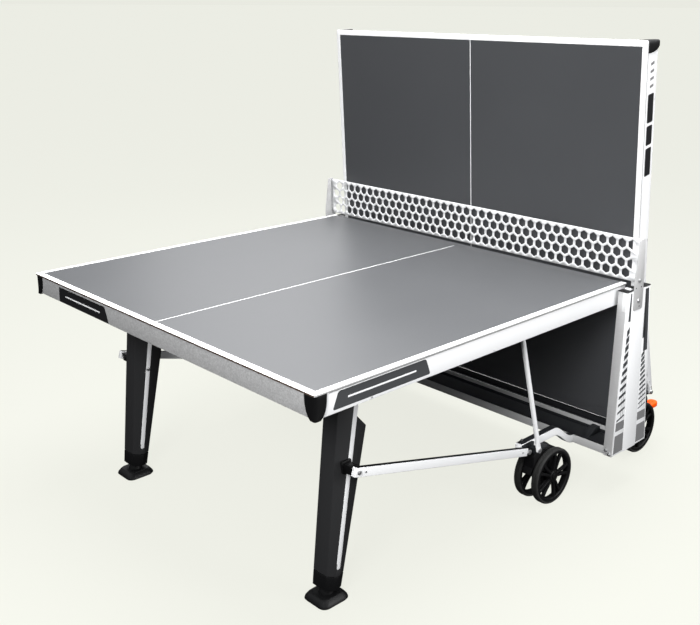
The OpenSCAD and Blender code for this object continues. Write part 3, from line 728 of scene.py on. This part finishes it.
def leg_strips(half):
    """The steel tube that shows as a bright strip in the slot between the covers."""
    piece = Piece(half + "_leg_strips", WHITE, ZINC)
    strip = block((-LEG_HALF_W + 1.2, SLOT_FRONT - 0.6, -JOIN_DROP),
                  (LEG_HALF_W - 1.2, SLOT_REAR + 0.6, 8), edge=1.2)
    piece.add(moved(strip, ALONG_LEG))
    for s in (-1, 1):
        stud = pin(s * (LEG_HALF_W - 2), s * (LEG_HALF_W + 1.5), (SLOT_MID, -316), 7,
                   edge=1.4, sides=20)
        piece.add(moved(stud, ALONG_LEG), 1)
    piece.both_sides().on_half(half, "legs", "leg_tubes", "galvanised")


def leg_caps(half):
    """Moulded sleeves that close the legs at the bottom."""
    def full(grow):
        front, rear = section(-1, FRONT_DEPTHS[0]), section(1, REAR_DEPTHS[0])
        return [(x * grow, y * grow) for x, y in front + rear[::-1]]
    piece = Piece(half + "_leg_sleeves", BLACK)
    sleeve = loft(full(0.955), full(1.0), "z", -END_DROP, -JOIN_DROP - 1.6, 1.0)
    piece.add(moved(sleeve, ALONG_LEG))
    piece.both_sides().on_half(half, "legs", "leg_caps", "moulded_black")


def leg_clamps(half):
    """Black brackets that hold the link bars to the legs."""
    x0 = LEG_X + LEG_HALF_W
    piece = Piece(half + "_leg_brackets", BLACK, ZINC)
    flange = [(-1152, 443), (-1116, 443), (-1111, 405), (-1147, 405)]
    piece.add(plate(flange, "x", x0 - 2, x0 + 6, edge=1.6))
    boss = [(-1146, 438), (-1122, 438), (-1118, 409), (-1142, 409)]
    piece.add(plate(boss, "x", x0 + 4, LINK_IN - 1, edge=1.6))
    for start, end, radius, edge in ((600, 652.6, 6, 0.8), (652.4, 655.4, 7, 1.2),
                                     (655, 657, 5, 0.8)):
        piece.add(pin(start, end, (LINK_Y, LINK_Z), radius, edge=edge), 1)
    piece.both_sides().on_half(half, "legs", "leg_clamps", "moulded_black")


PAD_HALF, PAD_H = 52, 25


def foot(half, side):
    """A flared pad on a threaded stem."""
    node = f"{half}_{side}_foot"
    y = LEG_Y - (LEG_Z - 12) * math.tan(math.radians(LEAN))
    pad = block((-PAD_HALF, -PAD_HALF, 0), (PAD_HALF, PAD_HALF, PAD_H), edge=0)
    round_edges(pad, 24, 6, edges_along(pad, "z"))
    bmesh.ops.subdivide_edges(pad, edges=edges_along(pad, "z"), cuts=4)
    for v in pad.verts:
        up = v.co.z / PAD_H
        narrow = 1 - 0.36 * max(0, up - 0.3) ** 1.1 - 0.05 * max(0, 0.2 - up) / 0.2
        v.co.x *= narrow
        v.co.y *= narrow
    round_edges(pad, 2.5, 3, [e for e in pad.edges if e.calc_face_angle(0) > math.radians(40)])
    piece = Piece(node + "_pad", BLACK, ZINC).add(moved(pad, Matrix.Translation((LEG_X, y, 0))))
    neck = rod((0, 0, -END_DROP - 26), (0, 0, -END_DROP - 0.6), 26, edge=2, end_radius=18)
    piece.add(moved(neck, ALONG_LEG))
    stem = rod((0, 0, -END_DROP - 10), (0, 0, -END_DROP + 32), 9.8, edge=1)
    piece.add(moved(stem, ALONG_LEG), 1)
    if side == "left":
        moved(piece.mesh, MIRROR_X)
    piece.finish(node, placing(half, "legs"), node, "moulded_black")


# ---- links and struts

ARM_Y, ARM_Z = -378, 218
STRUT_X, STRUT_R, STRUT_FLAT, STRUT_END = 668, 8.2, 5.4, (-349, 222)
EYE, EYE_ROUND = 12, 11.6
LINK_IN, LINK_OUT = 636, 652


def bar_outline(start, end, radius, steps=10):
    """A bar with round ends between two (y, z) points."""
    heading = math.degrees(math.atan2(end[1] - start[1], end[0] - start[0]))
    return (arc(start, radius, heading + 90, heading + 270, steps)
            + arc(end, radius, heading - 90, heading + 90, steps))


def link_bars(half):
    """Flat-sided tubes that swing the legs, with a plug at the wheel arm."""
    piece = Piece(half + "_link_tubes", WHITE, ZINC, BLACK)
    start, end = Vector((LINK_Y, LINK_Z)), Vector((ARM_Y, ARM_Z))
    step = (end - start).normalized()
    side = Vector((-step.y, step.x))
    a, b = start - step * 13, end - step * 9
    tube = [a + side * 14, a - side * 14, b - side * 14, b + side * 14]
    piece.add(plate(tube, "x", LINK_IN, LINK_OUT, edge=1.6, segments=3))
    # a dark strip along the upper edge: painted shade where the table above keeps the light off
    c, d, top, under = a + step * 3, b - step * 3, side * 14.4, side * 12
    strip = [c + top, c + under, d + under, d + top]
    piece.add(plate(strip, "x", LINK_IN + 1, LINK_OUT - 1, edge=0.3), 2)
    piece.add(plate(bar_outline(d, end, 13), "x", LINK_IN + 1, LINK_OUT - 1, edge=1.2), 2)
    piece.add(pin(LINK_OUT - 2, LINK_OUT + 3.6, end, 8.6, edge=1.4), 1)
    for place in (b - step * 28, start + step * 26):
        piece.add(pin(LINK_OUT - 1, LINK_OUT + 1.4, place, 3.4, edge=0.8, sides=20), 1)
    piece.both_sides().on_half(half, "links", "link_bars", "white_paint")


def struts(half):
    """Round rods with their ends pressed flat."""
    piece = Piece(half + "_strut_rods", WHITE, ZINC)
    top, bottom = Vector((STRUT_X, STRUT_Y, STRUT_Z)), Vector((STRUT_X, *STRUT_END))
    along = (bottom - top).normalized()
    length = (bottom - top).length
    mesh = rod((0, 0, -EYE), (0, 0, length + EYE), STRUT_R, edge=0, sides=32)
    bmesh.ops.subdivide_edges(mesh, edges=edges_along(mesh, "z"), cuts=60)
    for v in mesh.verts:
        near = min(v.co.z + EYE, length + EYE - v.co.z)
        press = 1 - min(1, max(0, (near - 26) / 22))
        press = press * press * (3 - 2 * press)
        v.co.x *= 1 + press * (STRUT_FLAT / STRUT_R - 1)
        v.co.y *= 1 + press * 0.42
        if near < EYE_ROUND:
            v.co.y *= math.sqrt(max(0.02, 1 - ((EYE_ROUND - near) / EYE_ROUND) ** 2))
    turn = Vector((0, 0, 1)).rotation_difference(along).to_matrix().to_4x4()
    piece.add(moved(mesh, Matrix.Translation(top) @ turn))
    piece.add(pin(STRUT_X - 5, STRUT_X + 9.6, STRUT_END, 7.6, edge=1.2), 1)
    piece.both_sides().on_half(half, "struts", "struts", "white_paint")


# ---- base, posts and net

POST_IN, POST_OUT = 766, 800
POST_LOW, POST_TOP = 152, 745
WEB_TOP = POST_TOP - 3
HALF_LOW, HALF_TOP = 107, 70
COVER_HALF = 38


def post_half(z):
    """Half of a post's depth at some height."""
    return HALF_LOW - (z - POST_LOW) * (HALF_LOW - HALF_TOP) / (WEB_TOP - POST_LOW)


def posts():
    """Steel channels that taper upwards, with a white corner piece at each upper edge."""
    top = WEB_TOP
    for side in ("left", "right"):
        piece = Piece(side + "_post_frame", STEEL, WHITE, ZINC)
        web = [(-HALF_LOW, POST_LOW), (HALF_LOW, POST_LOW), (post_half(top), top),
               (-post_half(top), top)]
        piece.add(plate(web, "x", POST_OUT - 3, POST_OUT, edge=1.0))
        for s in (-1, 1):
            flange = [(s * HALF_LOW, POST_LOW), (s * (HALF_LOW - 2.4), POST_LOW),
                      (s * (post_half(top) - 2.4), top), (s * post_half(top), top)]
            piece.add(plate(flange, "x", POST_IN, POST_OUT - 1.2, edge=0.8))
            y0, y1 = s * (post_half(top) + 0.2), s * (post_half(top - 66) + 0.7)
            fold = [(y0, top), (y0 - s * 0.8, top), (y1 - s * 0.8, top - 66), (y1, top - 66)]
            piece.add(plate(fold, "x", POST_OUT - 15, POST_OUT, edge=0.2), 1)
            screw = Vector((POST_OUT - 9, s * post_half(top - 14), top - 14))
            piece.add(rod(screw, screw + Vector((0, s * 1.8, 0)), 2.6, edge=0.5, sides=16), 2)
        if side == "left":
            moved(piece.mesh, MIRROR_X)
        piece.on_base(side + "_post", "galvanised")


def post_panels():
    """White outer faces with plain printed bars."""
    piece = Piece("post_printed_panels", WHITE, GREY_INK, BLACK_INK, DARK_INK)

    def strip(z0, z1, near, far, lean=0.0, material=1, far_top=None):
        """A printed shape across the panel, between two shares of its width."""
        def at(share, z):
            inner, outer = COVER_HALF + 4, post_half(z) - 7
            return s * (inner + (outer - inner) * share), z
        far_end = at(far if far_top is None else far_top, z1 + lean)
        outline = [at(near, z0), at(far, z0 + lean), far_end, at(near, z1)]
        piece.add(plate(outline, "x", POST_OUT + 1.6, POST_OUT + 2.3, edge=0), material)

    for s in (-1, 1):
        outline = [(s * (COVER_HALF - 2), POST_LOW + 2), (s * (HALF_LOW - 2), POST_LOW + 2),
                   (s * (HALF_TOP - 1), POST_TOP - 5), (s * (COVER_HALF - 2), POST_TOP - 5)]
        piece.add(plate(outline, "x", POST_OUT, POST_OUT + 2, edge=0.5))
        strip(POST_LOW + 8, POST_LOW + 76, 0, 1)
        strip(POST_LOW + 92, POST_LOW + 124, 0, 1)
        if s < 0:
            strip(POST_TOP - 108, POST_TOP - 10, 0, 0.5, 0, 3, far_top=0.3)
            first, pitch, share = POST_TOP - 128, 29, 1
        else:
            strip(POST_TOP - 240, POST_TOP - 10, 0.3, 1, 0, 3)
            strip(POST_TOP - 190, POST_TOP - 10, 0, 0.4, 0, 3)
            first, pitch, share = POST_TOP - 250, 18.5, 0.6
        for i in range(12):
            z, thick = first - i * pitch, (22 - 1.4 * i) * share
            strip(z - thick, z, 0.04, min(0.96, 0.56 + 0.05 * i), 12 * s, 3)
        for share in (0.26, 0.5):
            strip(POST_LOW + 140, POST_TOP - 140, share, share + 0.035, 0, 1)
    piece.both_sides().on_base("post_panels", "panel_grey")


def post_covers():
    piece = Piece("post_channel_covers", WHITE)
    piece.add(block((POST_OUT, -COVER_HALF, POST_LOW - 1), (POST_OUT + 3, COVER_HALF, WEB_TOP),
                    edge=0.9, segments=3))
    for s in (-1, 1):
        piece.add(block((POST_OUT - 1, s * COVER_HALF - 1.2, POST_LOW - 1),
                        (POST_OUT + 2.4, s * COVER_HALF + 1.2, WEB_TOP), edge=0.6))
    piece.both_sides().on_base("post_covers", "white_paint")


def post_caps():
    piece = Piece("post_top_caps", BLACK)
    w = HALF_TOP + 2
    for low, high in (((POST_IN - 1, -w, 742), (POST_OUT + 3, -47, 745.6)),
                      ((POST_IN - 1, 47, 742), (POST_OUT + 3, w, 745.6)),
                      ((POST_OUT - 4, -48, 742), (POST_OUT + 3, 48, 745.6)),
                      ((POST_IN - 1, -10, 742), (POST_OUT - 3, 10, 745.2))):
        piece.add(block(low, high, edge=1.2, segments=3))
    piece.both_sides().on_base("post_caps", "moulded_black")


def base_tray():
    low, high = node_box("base_tray")
    piece = Piece("base_beam", STEEL, BLACK_STEEL_AND_SHADE)
    lip, x = high.y, high.x
    for s in (-1, 1):
        # the steel wall, then a black film inside it: painted shade in the tray under the table
        for near, far, margin, drop, edge, material in ((0, 2, 0, 0, 0.6, 0),
                                                        (2, 2.8, 1, 0.6, 0.1, 1)):
            y0, y1 = sorted((s * (lip - near), s * (lip - far)))
            wall = block((-x + margin, y0, low.z + margin), (x - margin, y1, high.z - drop), edge)
            piece.add(wall, material)
    # the tray's floor is black: painted shade under the table
    piece.add(block((-x, -lip + 1, low.z), (x, lip - 1, low.z + 2.2), 0.4), 1)
    piece.add(block((-759, 36, low.z + 2), (759, 40, high.z), 0.8))
    for x0 in (-640, 640):
        piece.add(plate([(-40, low.z + 2), (34, low.z + 2), (34, high.z - 4), (8, high.z - 4)],
                        "x", x0 - 16, x0 + 16, edge=1), 1)
    # black film low on the spine: painted shade below its top edge
    piece.add(block((-758, 35.4, low.z + 2), (758, 36.2, high.z - 15), 0.1), 1)
    piece.on_base("base_tray", "galvanised")


def wheel_arms():
    """Goose-neck arms from the tray out over the casters."""
    half, steps, end_y = 14.5, 18, -400
    low, high = node_box("wheel_arms")
    start_z, level_z = low.z + half, high.z - half
    piece = Piece("goose_neck_arms", WHITE, BLACK_STEEL_AND_SHADE)

    def neck(offset):
        """The curve of the neck, raised by an offset."""
        shares = [i / steps for i in range(steps + 1)]
        return [(-101.5 - share * 115, start_z + offset
                 + (level_z - start_z) * (1 - math.cos(math.pi * share)) / 2) for share in shares]

    arm = neck(half) + [(end_y + 4, level_z + half), (end_y, level_z + half - 6),
                        (end_y, level_z - half + 6), (end_y + 4, level_z - half)]
    piece.add(plate(arm + neck(-half)[::-1], "x", 606.6, 633.6, edge=2.0, segments=3))
    # a dark strip along the top: painted shade where the table above keeps the light off
    strip = neck(half + 1.6) + [(end_y + 6, level_z + half + 1.6),
                                (end_y + 6, level_z + half - 0.5)]
    piece.add(plate(strip + neck(half - 0.5)[::-1], "x", 608.5, 631.5, edge=0.6), 1)
    piece.both_sides().twinned(MIRROR_Y).on_base("wheel_arms", "galvanised")


def arm_brackets():
    piece = Piece("arm_brackets_and_plates", BLACK_STEEL_AND_SHADE, ZINC)
    ear = [(-398, 212), (-334, 212), (-332, 236), (-345, 243), (-398, 243)]
    piece.add(plate(ear, "x", 633.8, 635.5, edge=0.5))
    piece.add(pin(635, 659.4, STRUT_END, 9, edge=1))
    piece.add(block((606, -358, 207.4), (660, -283, 215), edge=2))
    piece.add(rod((620, -381, 243), (620, -381, 252), 7, edge=1.4, sides=6))
    piece.add(rod((620, -381, 251), (620, -381, 256), 3.5, edge=0.8, sides=16), 1)
    piece.both_sides().twinned(MIRROR_Y).on_base("arm_brackets", "frame_black")


HOLE_PITCH = 39.7
HOLE_ACROSS = 30.0
HOLE_ROWS, ROW_STEP = 4, 33.4


def net():
    """The net: a flexible sheet with rows of six-sided holes, stretched between the plates."""
    low, high = node_box("net")
    width, height = high.x - low.x, high.z - low.z
    middle_z = (low.z + high.z) / 2
    mesh = bmesh.new()
    step = 13.0
    across, up = round(width / step), round(height / step)
    corners = ([(low.x + width * i / across, low.z) for i in range(across)]
               + [(high.x, low.z + height * i / up) for i in range(up)]
               + [(high.x - width * i / across, high.z) for i in range(across)]
               + [(low.x, high.z - height * i / up) for i in range(up)])
    outline = [mesh.verts.new((x, 0, z)) for x, z in corners]
    columns = int((width - 30) // HOLE_PITCH)
    for row in range(HOLE_ROWS):
        z = middle_z + (row - (HOLE_ROWS - 1) / 2) * ROW_STEP
        shift = HOLE_PITCH / 4 * (1 if row % 2 else -1)
        for column in range(columns):
            x = (column - (columns - 1) / 2) * HOLE_PITCH + shift
            place = Matrix.Translation((x, 0, z)) @ Matrix.Rotation(math.pi / 2, 4, "X")
            bmesh.ops.create_circle(mesh, segments=6, radius=HOLE_ACROSS / math.sqrt(3),
                                    matrix=place)
    for a, b in zip(outline, outline[1:] + outline[:1]):
        mesh.edges.new((a, b))
    bmesh.ops.triangle_fill(mesh, use_beauty=True, use_dissolve=False, edges=mesh.edges[:],
                            normal=(0, -1, 0))
    bmesh.ops.recalc_face_normals(mesh, faces=mesh.faces)
    for v in mesh.verts:
        end = max(0, (abs(v.co.x) - (high.x - 70)) / 70)
        wave = math.sin(v.co.x / 210 + 0.6) * 1.2 + math.sin(v.co.x / 74) * 0.5
        v.co.y = wave * (1 - end)
        if v.co.x < 0:
            share = (v.co.z - low.z) / height
            v.co.y += 7 * math.sin(share * math.tau) * end * (1 - end) * 4 * 0.7
    area = sum(f.calc_area() for f in mesh.faces) * MM * MM
    piece = Piece("net_sheet", NET).add(mesh)
    sheet = piece.on_base("net", "net_white")
    thick = sheet.modifiers.new("thickness", "SOLIDIFY")
    thick.thickness, thick.offset = 0.0014, 0.0


PLATE_Y = -8


def net_plates():
    top = node_box("net_plates")[1].z
    y, x = PLATE_Y, POST_OUT + 3
    piece = Piece("net_side_plates", STEEL, ZINC, BLACK)
    outline = [(y - 22, 672), (y + 22, 672), (y + 27, 677), (y + 28, 778), (y + 20, top - 3),
               (y + 17, top), (y - 5, top), (y - 8, top - 3), (y - 28, 778), (y - 27, 677)]
    piece.add(plate(outline, "x", x, x + 3, edge=0.5))
    for dy, z in ((-17, 750), (14, 750), (7, 683)):
        piece.add(pin(x + 2.4, x + 3.2, (y + dy, z), 2.6, edge=0.1, sides=16), 2)
    piece.add(rod((POST_OUT, 0, 762), (POST_OUT, 0, top - 2), 3.4, edge=1, sides=20), 1)
    piece.both_sides().on_base("net_plates", "galvanised")


def base_bolts():
    piece = Piece("base_bolt_set", ZINC)
    for z in (703, 774):
        piece.add(pin(POST_OUT + 5.8, POST_OUT + 8.6, (PLATE_Y, z), 7, edge=1.6, sides=24))
        piece.add(hexagon_head((POST_OUT + 8, PLATE_Y, z), (POST_OUT + 10.5, PLATE_Y, z), 7))
    for s in (-1, 1):
        for x, z in ((776, 171), (790, 160)):
            base, out = Vector((x, s * (post_half(z) + 0.4), z)), Vector((0, s, 0))
            piece.add(rod(base - out * 8, base + out * 1.6, 7, edge=0.6, sides=24))
            piece.add(hexagon_head(base + out * 1.4, base + out * 5, 9))
    piece.both_sides().on_base("base_bolts", "zinc")


# ---- casters

CASTER_X, SWIVEL_Y, AXLE_Y, WHEEL_R = 634, -325, -275, 100
AXLE = (AXLE_Y, WHEEL_R)
WHEEL_W, FORK_HALF = 27, 22
SPOKES, HUB_SCREWS, SPOKE_STEPS, SPOKE_ROOT = 5, 10, 8, 18
BRAKE_PIN = (-342, 140)


def caster_matrix(half, side):
    """From a caster's drawing, on the right of the flat half, to its own corner."""
    end = DRAWING if half == "front" else OTHER_END @ DRAWING
    mirror = MIRROR_X if side == "left" else Matrix.Identity(4)
    return end @ mirror @ Matrix.Translation((CASTER_X, 0, 0))


def wheel(half, side, which):
    """A wheel with a soft tread and five twin spokes that curve into the rim."""
    node = f"{half}_{side}_{which}_wheel"
    s = 1 if which == "outer" else -1
    middle, h, r = s * (FORK_HALF + 2 + WHEEL_W / 2), WHEEL_W / 2, WHEEL_R
    piece = Piece(node + "_detailed", RUBBER, BLACK, ZINC)
    tread = [(r - 9, -h + 1), (r - 5, -h + 0.2), (r - 1.6, -h + 2), (r, -h + 6), (r, -4),
             (r - 1, -3), (r - 1, 3), (r, 4), (r, h - 6), (r - 1.6, h - 2), (r - 5, h - 0.2),
             (r - 9, h - 1)]
    rim = [(r - 9, -h + 0.6), (r - 9, h - 0.6), (r - 12, h), (r - 17, h - 0.8), (r - 19.5, h - 4),
           (r - 20, 0), (r - 19.5, -h + 4), (r - 17, -h + 0.8), (r - 12, -h)]
    hub = [(8.2, -h + 1), (8.2, h - 1), (11, h), (19, h - 0.6), (21, h - 3), (21.5, 0),
           (21, -h + 3), (19, -h + 0.6), (11, -h)]
    for profile, steps, material in ((tread, 72, 0), (rim, 72, 1), (hub, 40, 1)):
        piece.add(lathe(profile, (middle, *AXLE), steps), material)
    spoke_x = middle + s * 5.0
    for i in range(SPOKES):
        for bend in (-1, 1):
            inner, outer = [], []
            for k in range(SPOKE_STEPS + 1):
                t = k / SPOKE_STEPS
                radius = SPOKE_ROOT + (r - 2 * SPOKE_ROOT) * t
                curve = 15 - 9 * math.sin(t * math.pi * 0.5) + 7 * t * t
                swing = math.radians(i * 360 / SPOKES + bend * curve)
                wide = math.radians(6.4 * 30 / max(30, radius) + 1.6)
                for store, a in ((inner, swing - wide), (outer, swing + wide)):
                    store.append((AXLE_Y + radius * math.cos(a), r + radius * math.sin(a)))
            outline = inner + outer[::-1]
            piece.add(plate(outline, "x", spoke_x - 6, spoke_x + 6, edge=1.3), 1)
    for i in range(HUB_SCREWS):
        a = math.tau * i / HUB_SCREWS
        place = (AXLE_Y + 15 * math.cos(a), r + 15 * math.sin(a))
        screw = pin(middle + s * (h - 2), middle + s * (h + 0.2), place, 1.8, edge=0.4, sides=12)
        piece.add(screw, 1)
    piece.finish(node, caster_matrix(half, side), node, "wheel_black")


def fork(half, side):
    """The swivel housing between the wheels, with a guard that follows their rims."""
    node = f"{half}_{side}_fork"
    rear = half == "rear"
    piece = Piece(node + "_housing", BLACK, ZINC)
    w = FORK_HALF
    spine = ([(-252, 108), (-256, 150), (-264, 178)] + arc((-320, 172), 31, 100, 60, 3)[::-1]
             + [(-350, 203), (-357, 190), (-359, 152), (-348, 112), (-292, 78)])
    sides = ((-w, -8), (8, w)) if rear else ((-w, w),)
    for x0, x1 in sides:
        piece.add(plate(spine, "x", x0, x1, edge=2.2 if rear else 2.6, segments=3))
    if rear:
        # between the cheeks, which leave room for the brake
        middle = [(-252, 108), (-256, 150), (-264, 178), (-300, 202), (-322, 202), (-322, 100),
                  (-292, 78)]
        piece.add(plate(middle, "x", -9, 9, edge=0.5))
    piece.add(pin(-w, w, AXLE, 24, edge=2, sides=40))
    # rim guard
    outer, inner = (arc(AXLE, radius, 60, 165, 18) for radius in (97, 89))
    guard = [p for p in outer if p[1] > 118] + [p for p in inner if p[1] > 118][::-1]
    guard = [(y, min(z, 203)) for y, z in guard]
    for x0, x1 in ((-w, -8.5), (8.5, w)) if rear else ((-w + 3, w - 3),):
        piece.add(plate(guard, "x", x0, x1, edge=1.2))
    piece.add(rod((0, SWIVEL_Y, 196), (0, SWIVEL_Y, 206.6), 17, edge=2, end_radius=14))
    piece.add(rod((0, SWIVEL_Y, 200), (0, SWIVEL_Y, 214), 7.9, edge=0.8), 1)
    nut = FORK_HALF + 2 + WHEEL_W
    piece.add(pin(-nut - 0.4, nut + 0.4, AXLE, 7.9, edge=0.5), 1)
    for s in (-1, 1):
        piece.add(pin(s * (nut + 0.5), s * (nut + 3.4), AXLE, 12.5, edge=1.6), 0)
    if rear:
        piece.add(pin(-w - 0.5, w + 0.5, BRAKE_PIN, 3.9, edge=0.6), 1)
    piece.finish(node, caster_matrix(half, side), node, "moulded_black")


def brake(side):
    """The orange foot pedal, a dished paddle with a round end."""
    node = f"rear_{side}_brake"
    piece = Piece(node + "_pedal", ORANGE)
    piece.add(pin(-6.8, 6.8, BRAKE_PIN, 11, edge=1.4))
    tongue = [(-342, 147), (-342, 133), (-392, 131), (-400, 134), (-400, 146)]
    piece.add(plate(tongue, "x", -6.6, 6.6, edge=1.6))
    paddle = ([(-17, -386), (-20, -394)] + arc((0, -429), 21, 180, 360, 14)
              + [(20, -394), (17, -386)])
    piece.add(plate(paddle, "z", 128, 148, edge=4.5, segments=4))
    for i in range(3):
        y = -402 - i * 12
        piece.add(block((-12, y - 1.6, 146), (12, y + 1.6, 149.2), edge=1.2))
    piece.finish(node, caster_matrix("rear", side), node, "brake_orange")


# ---- plain CAD nodes

def paint_nodes(material, *names):
    """Gives carried-over CAD nodes their finish."""
    for name in names:
        slots = frame["nodes"][name].data.materials
        slots.clear()
        slots.append(material)


set_camera()
lay_floor()
light_studio()
for half in ("front", "rear"):
    for build in (board, side_rails, end_rail, corner_caps, leg_shells, leg_strips, leg_caps,
                  leg_clamps):
        build(half)
    for side in ("left", "right"):
        foot(half, side)
    link_bars(half)
    struts(half)
    for side in ("left", "right"):
        fork(half, side)
        for which in ("outer", "inner"):
            wheel(half, side, which)
for side in ("left", "right"):
    brake(side)
for build in (posts, post_panels, post_covers, post_caps, base_tray, wheel_arms, arm_brackets, net,
              net_plates, base_bolts):
    build()
for half in ("front", "rear"):
    paint_nodes(SPANGLE, half + "_net_rail")
    paint_nodes(BLACK_STEEL_AND_SHADE, half + "_cross_rails", half + "_brackets")
    paint_nodes(ZINC, half + "_hinge_axle", half + "_leg_axle")
paint_nodes(STEEL, "guide_rails")
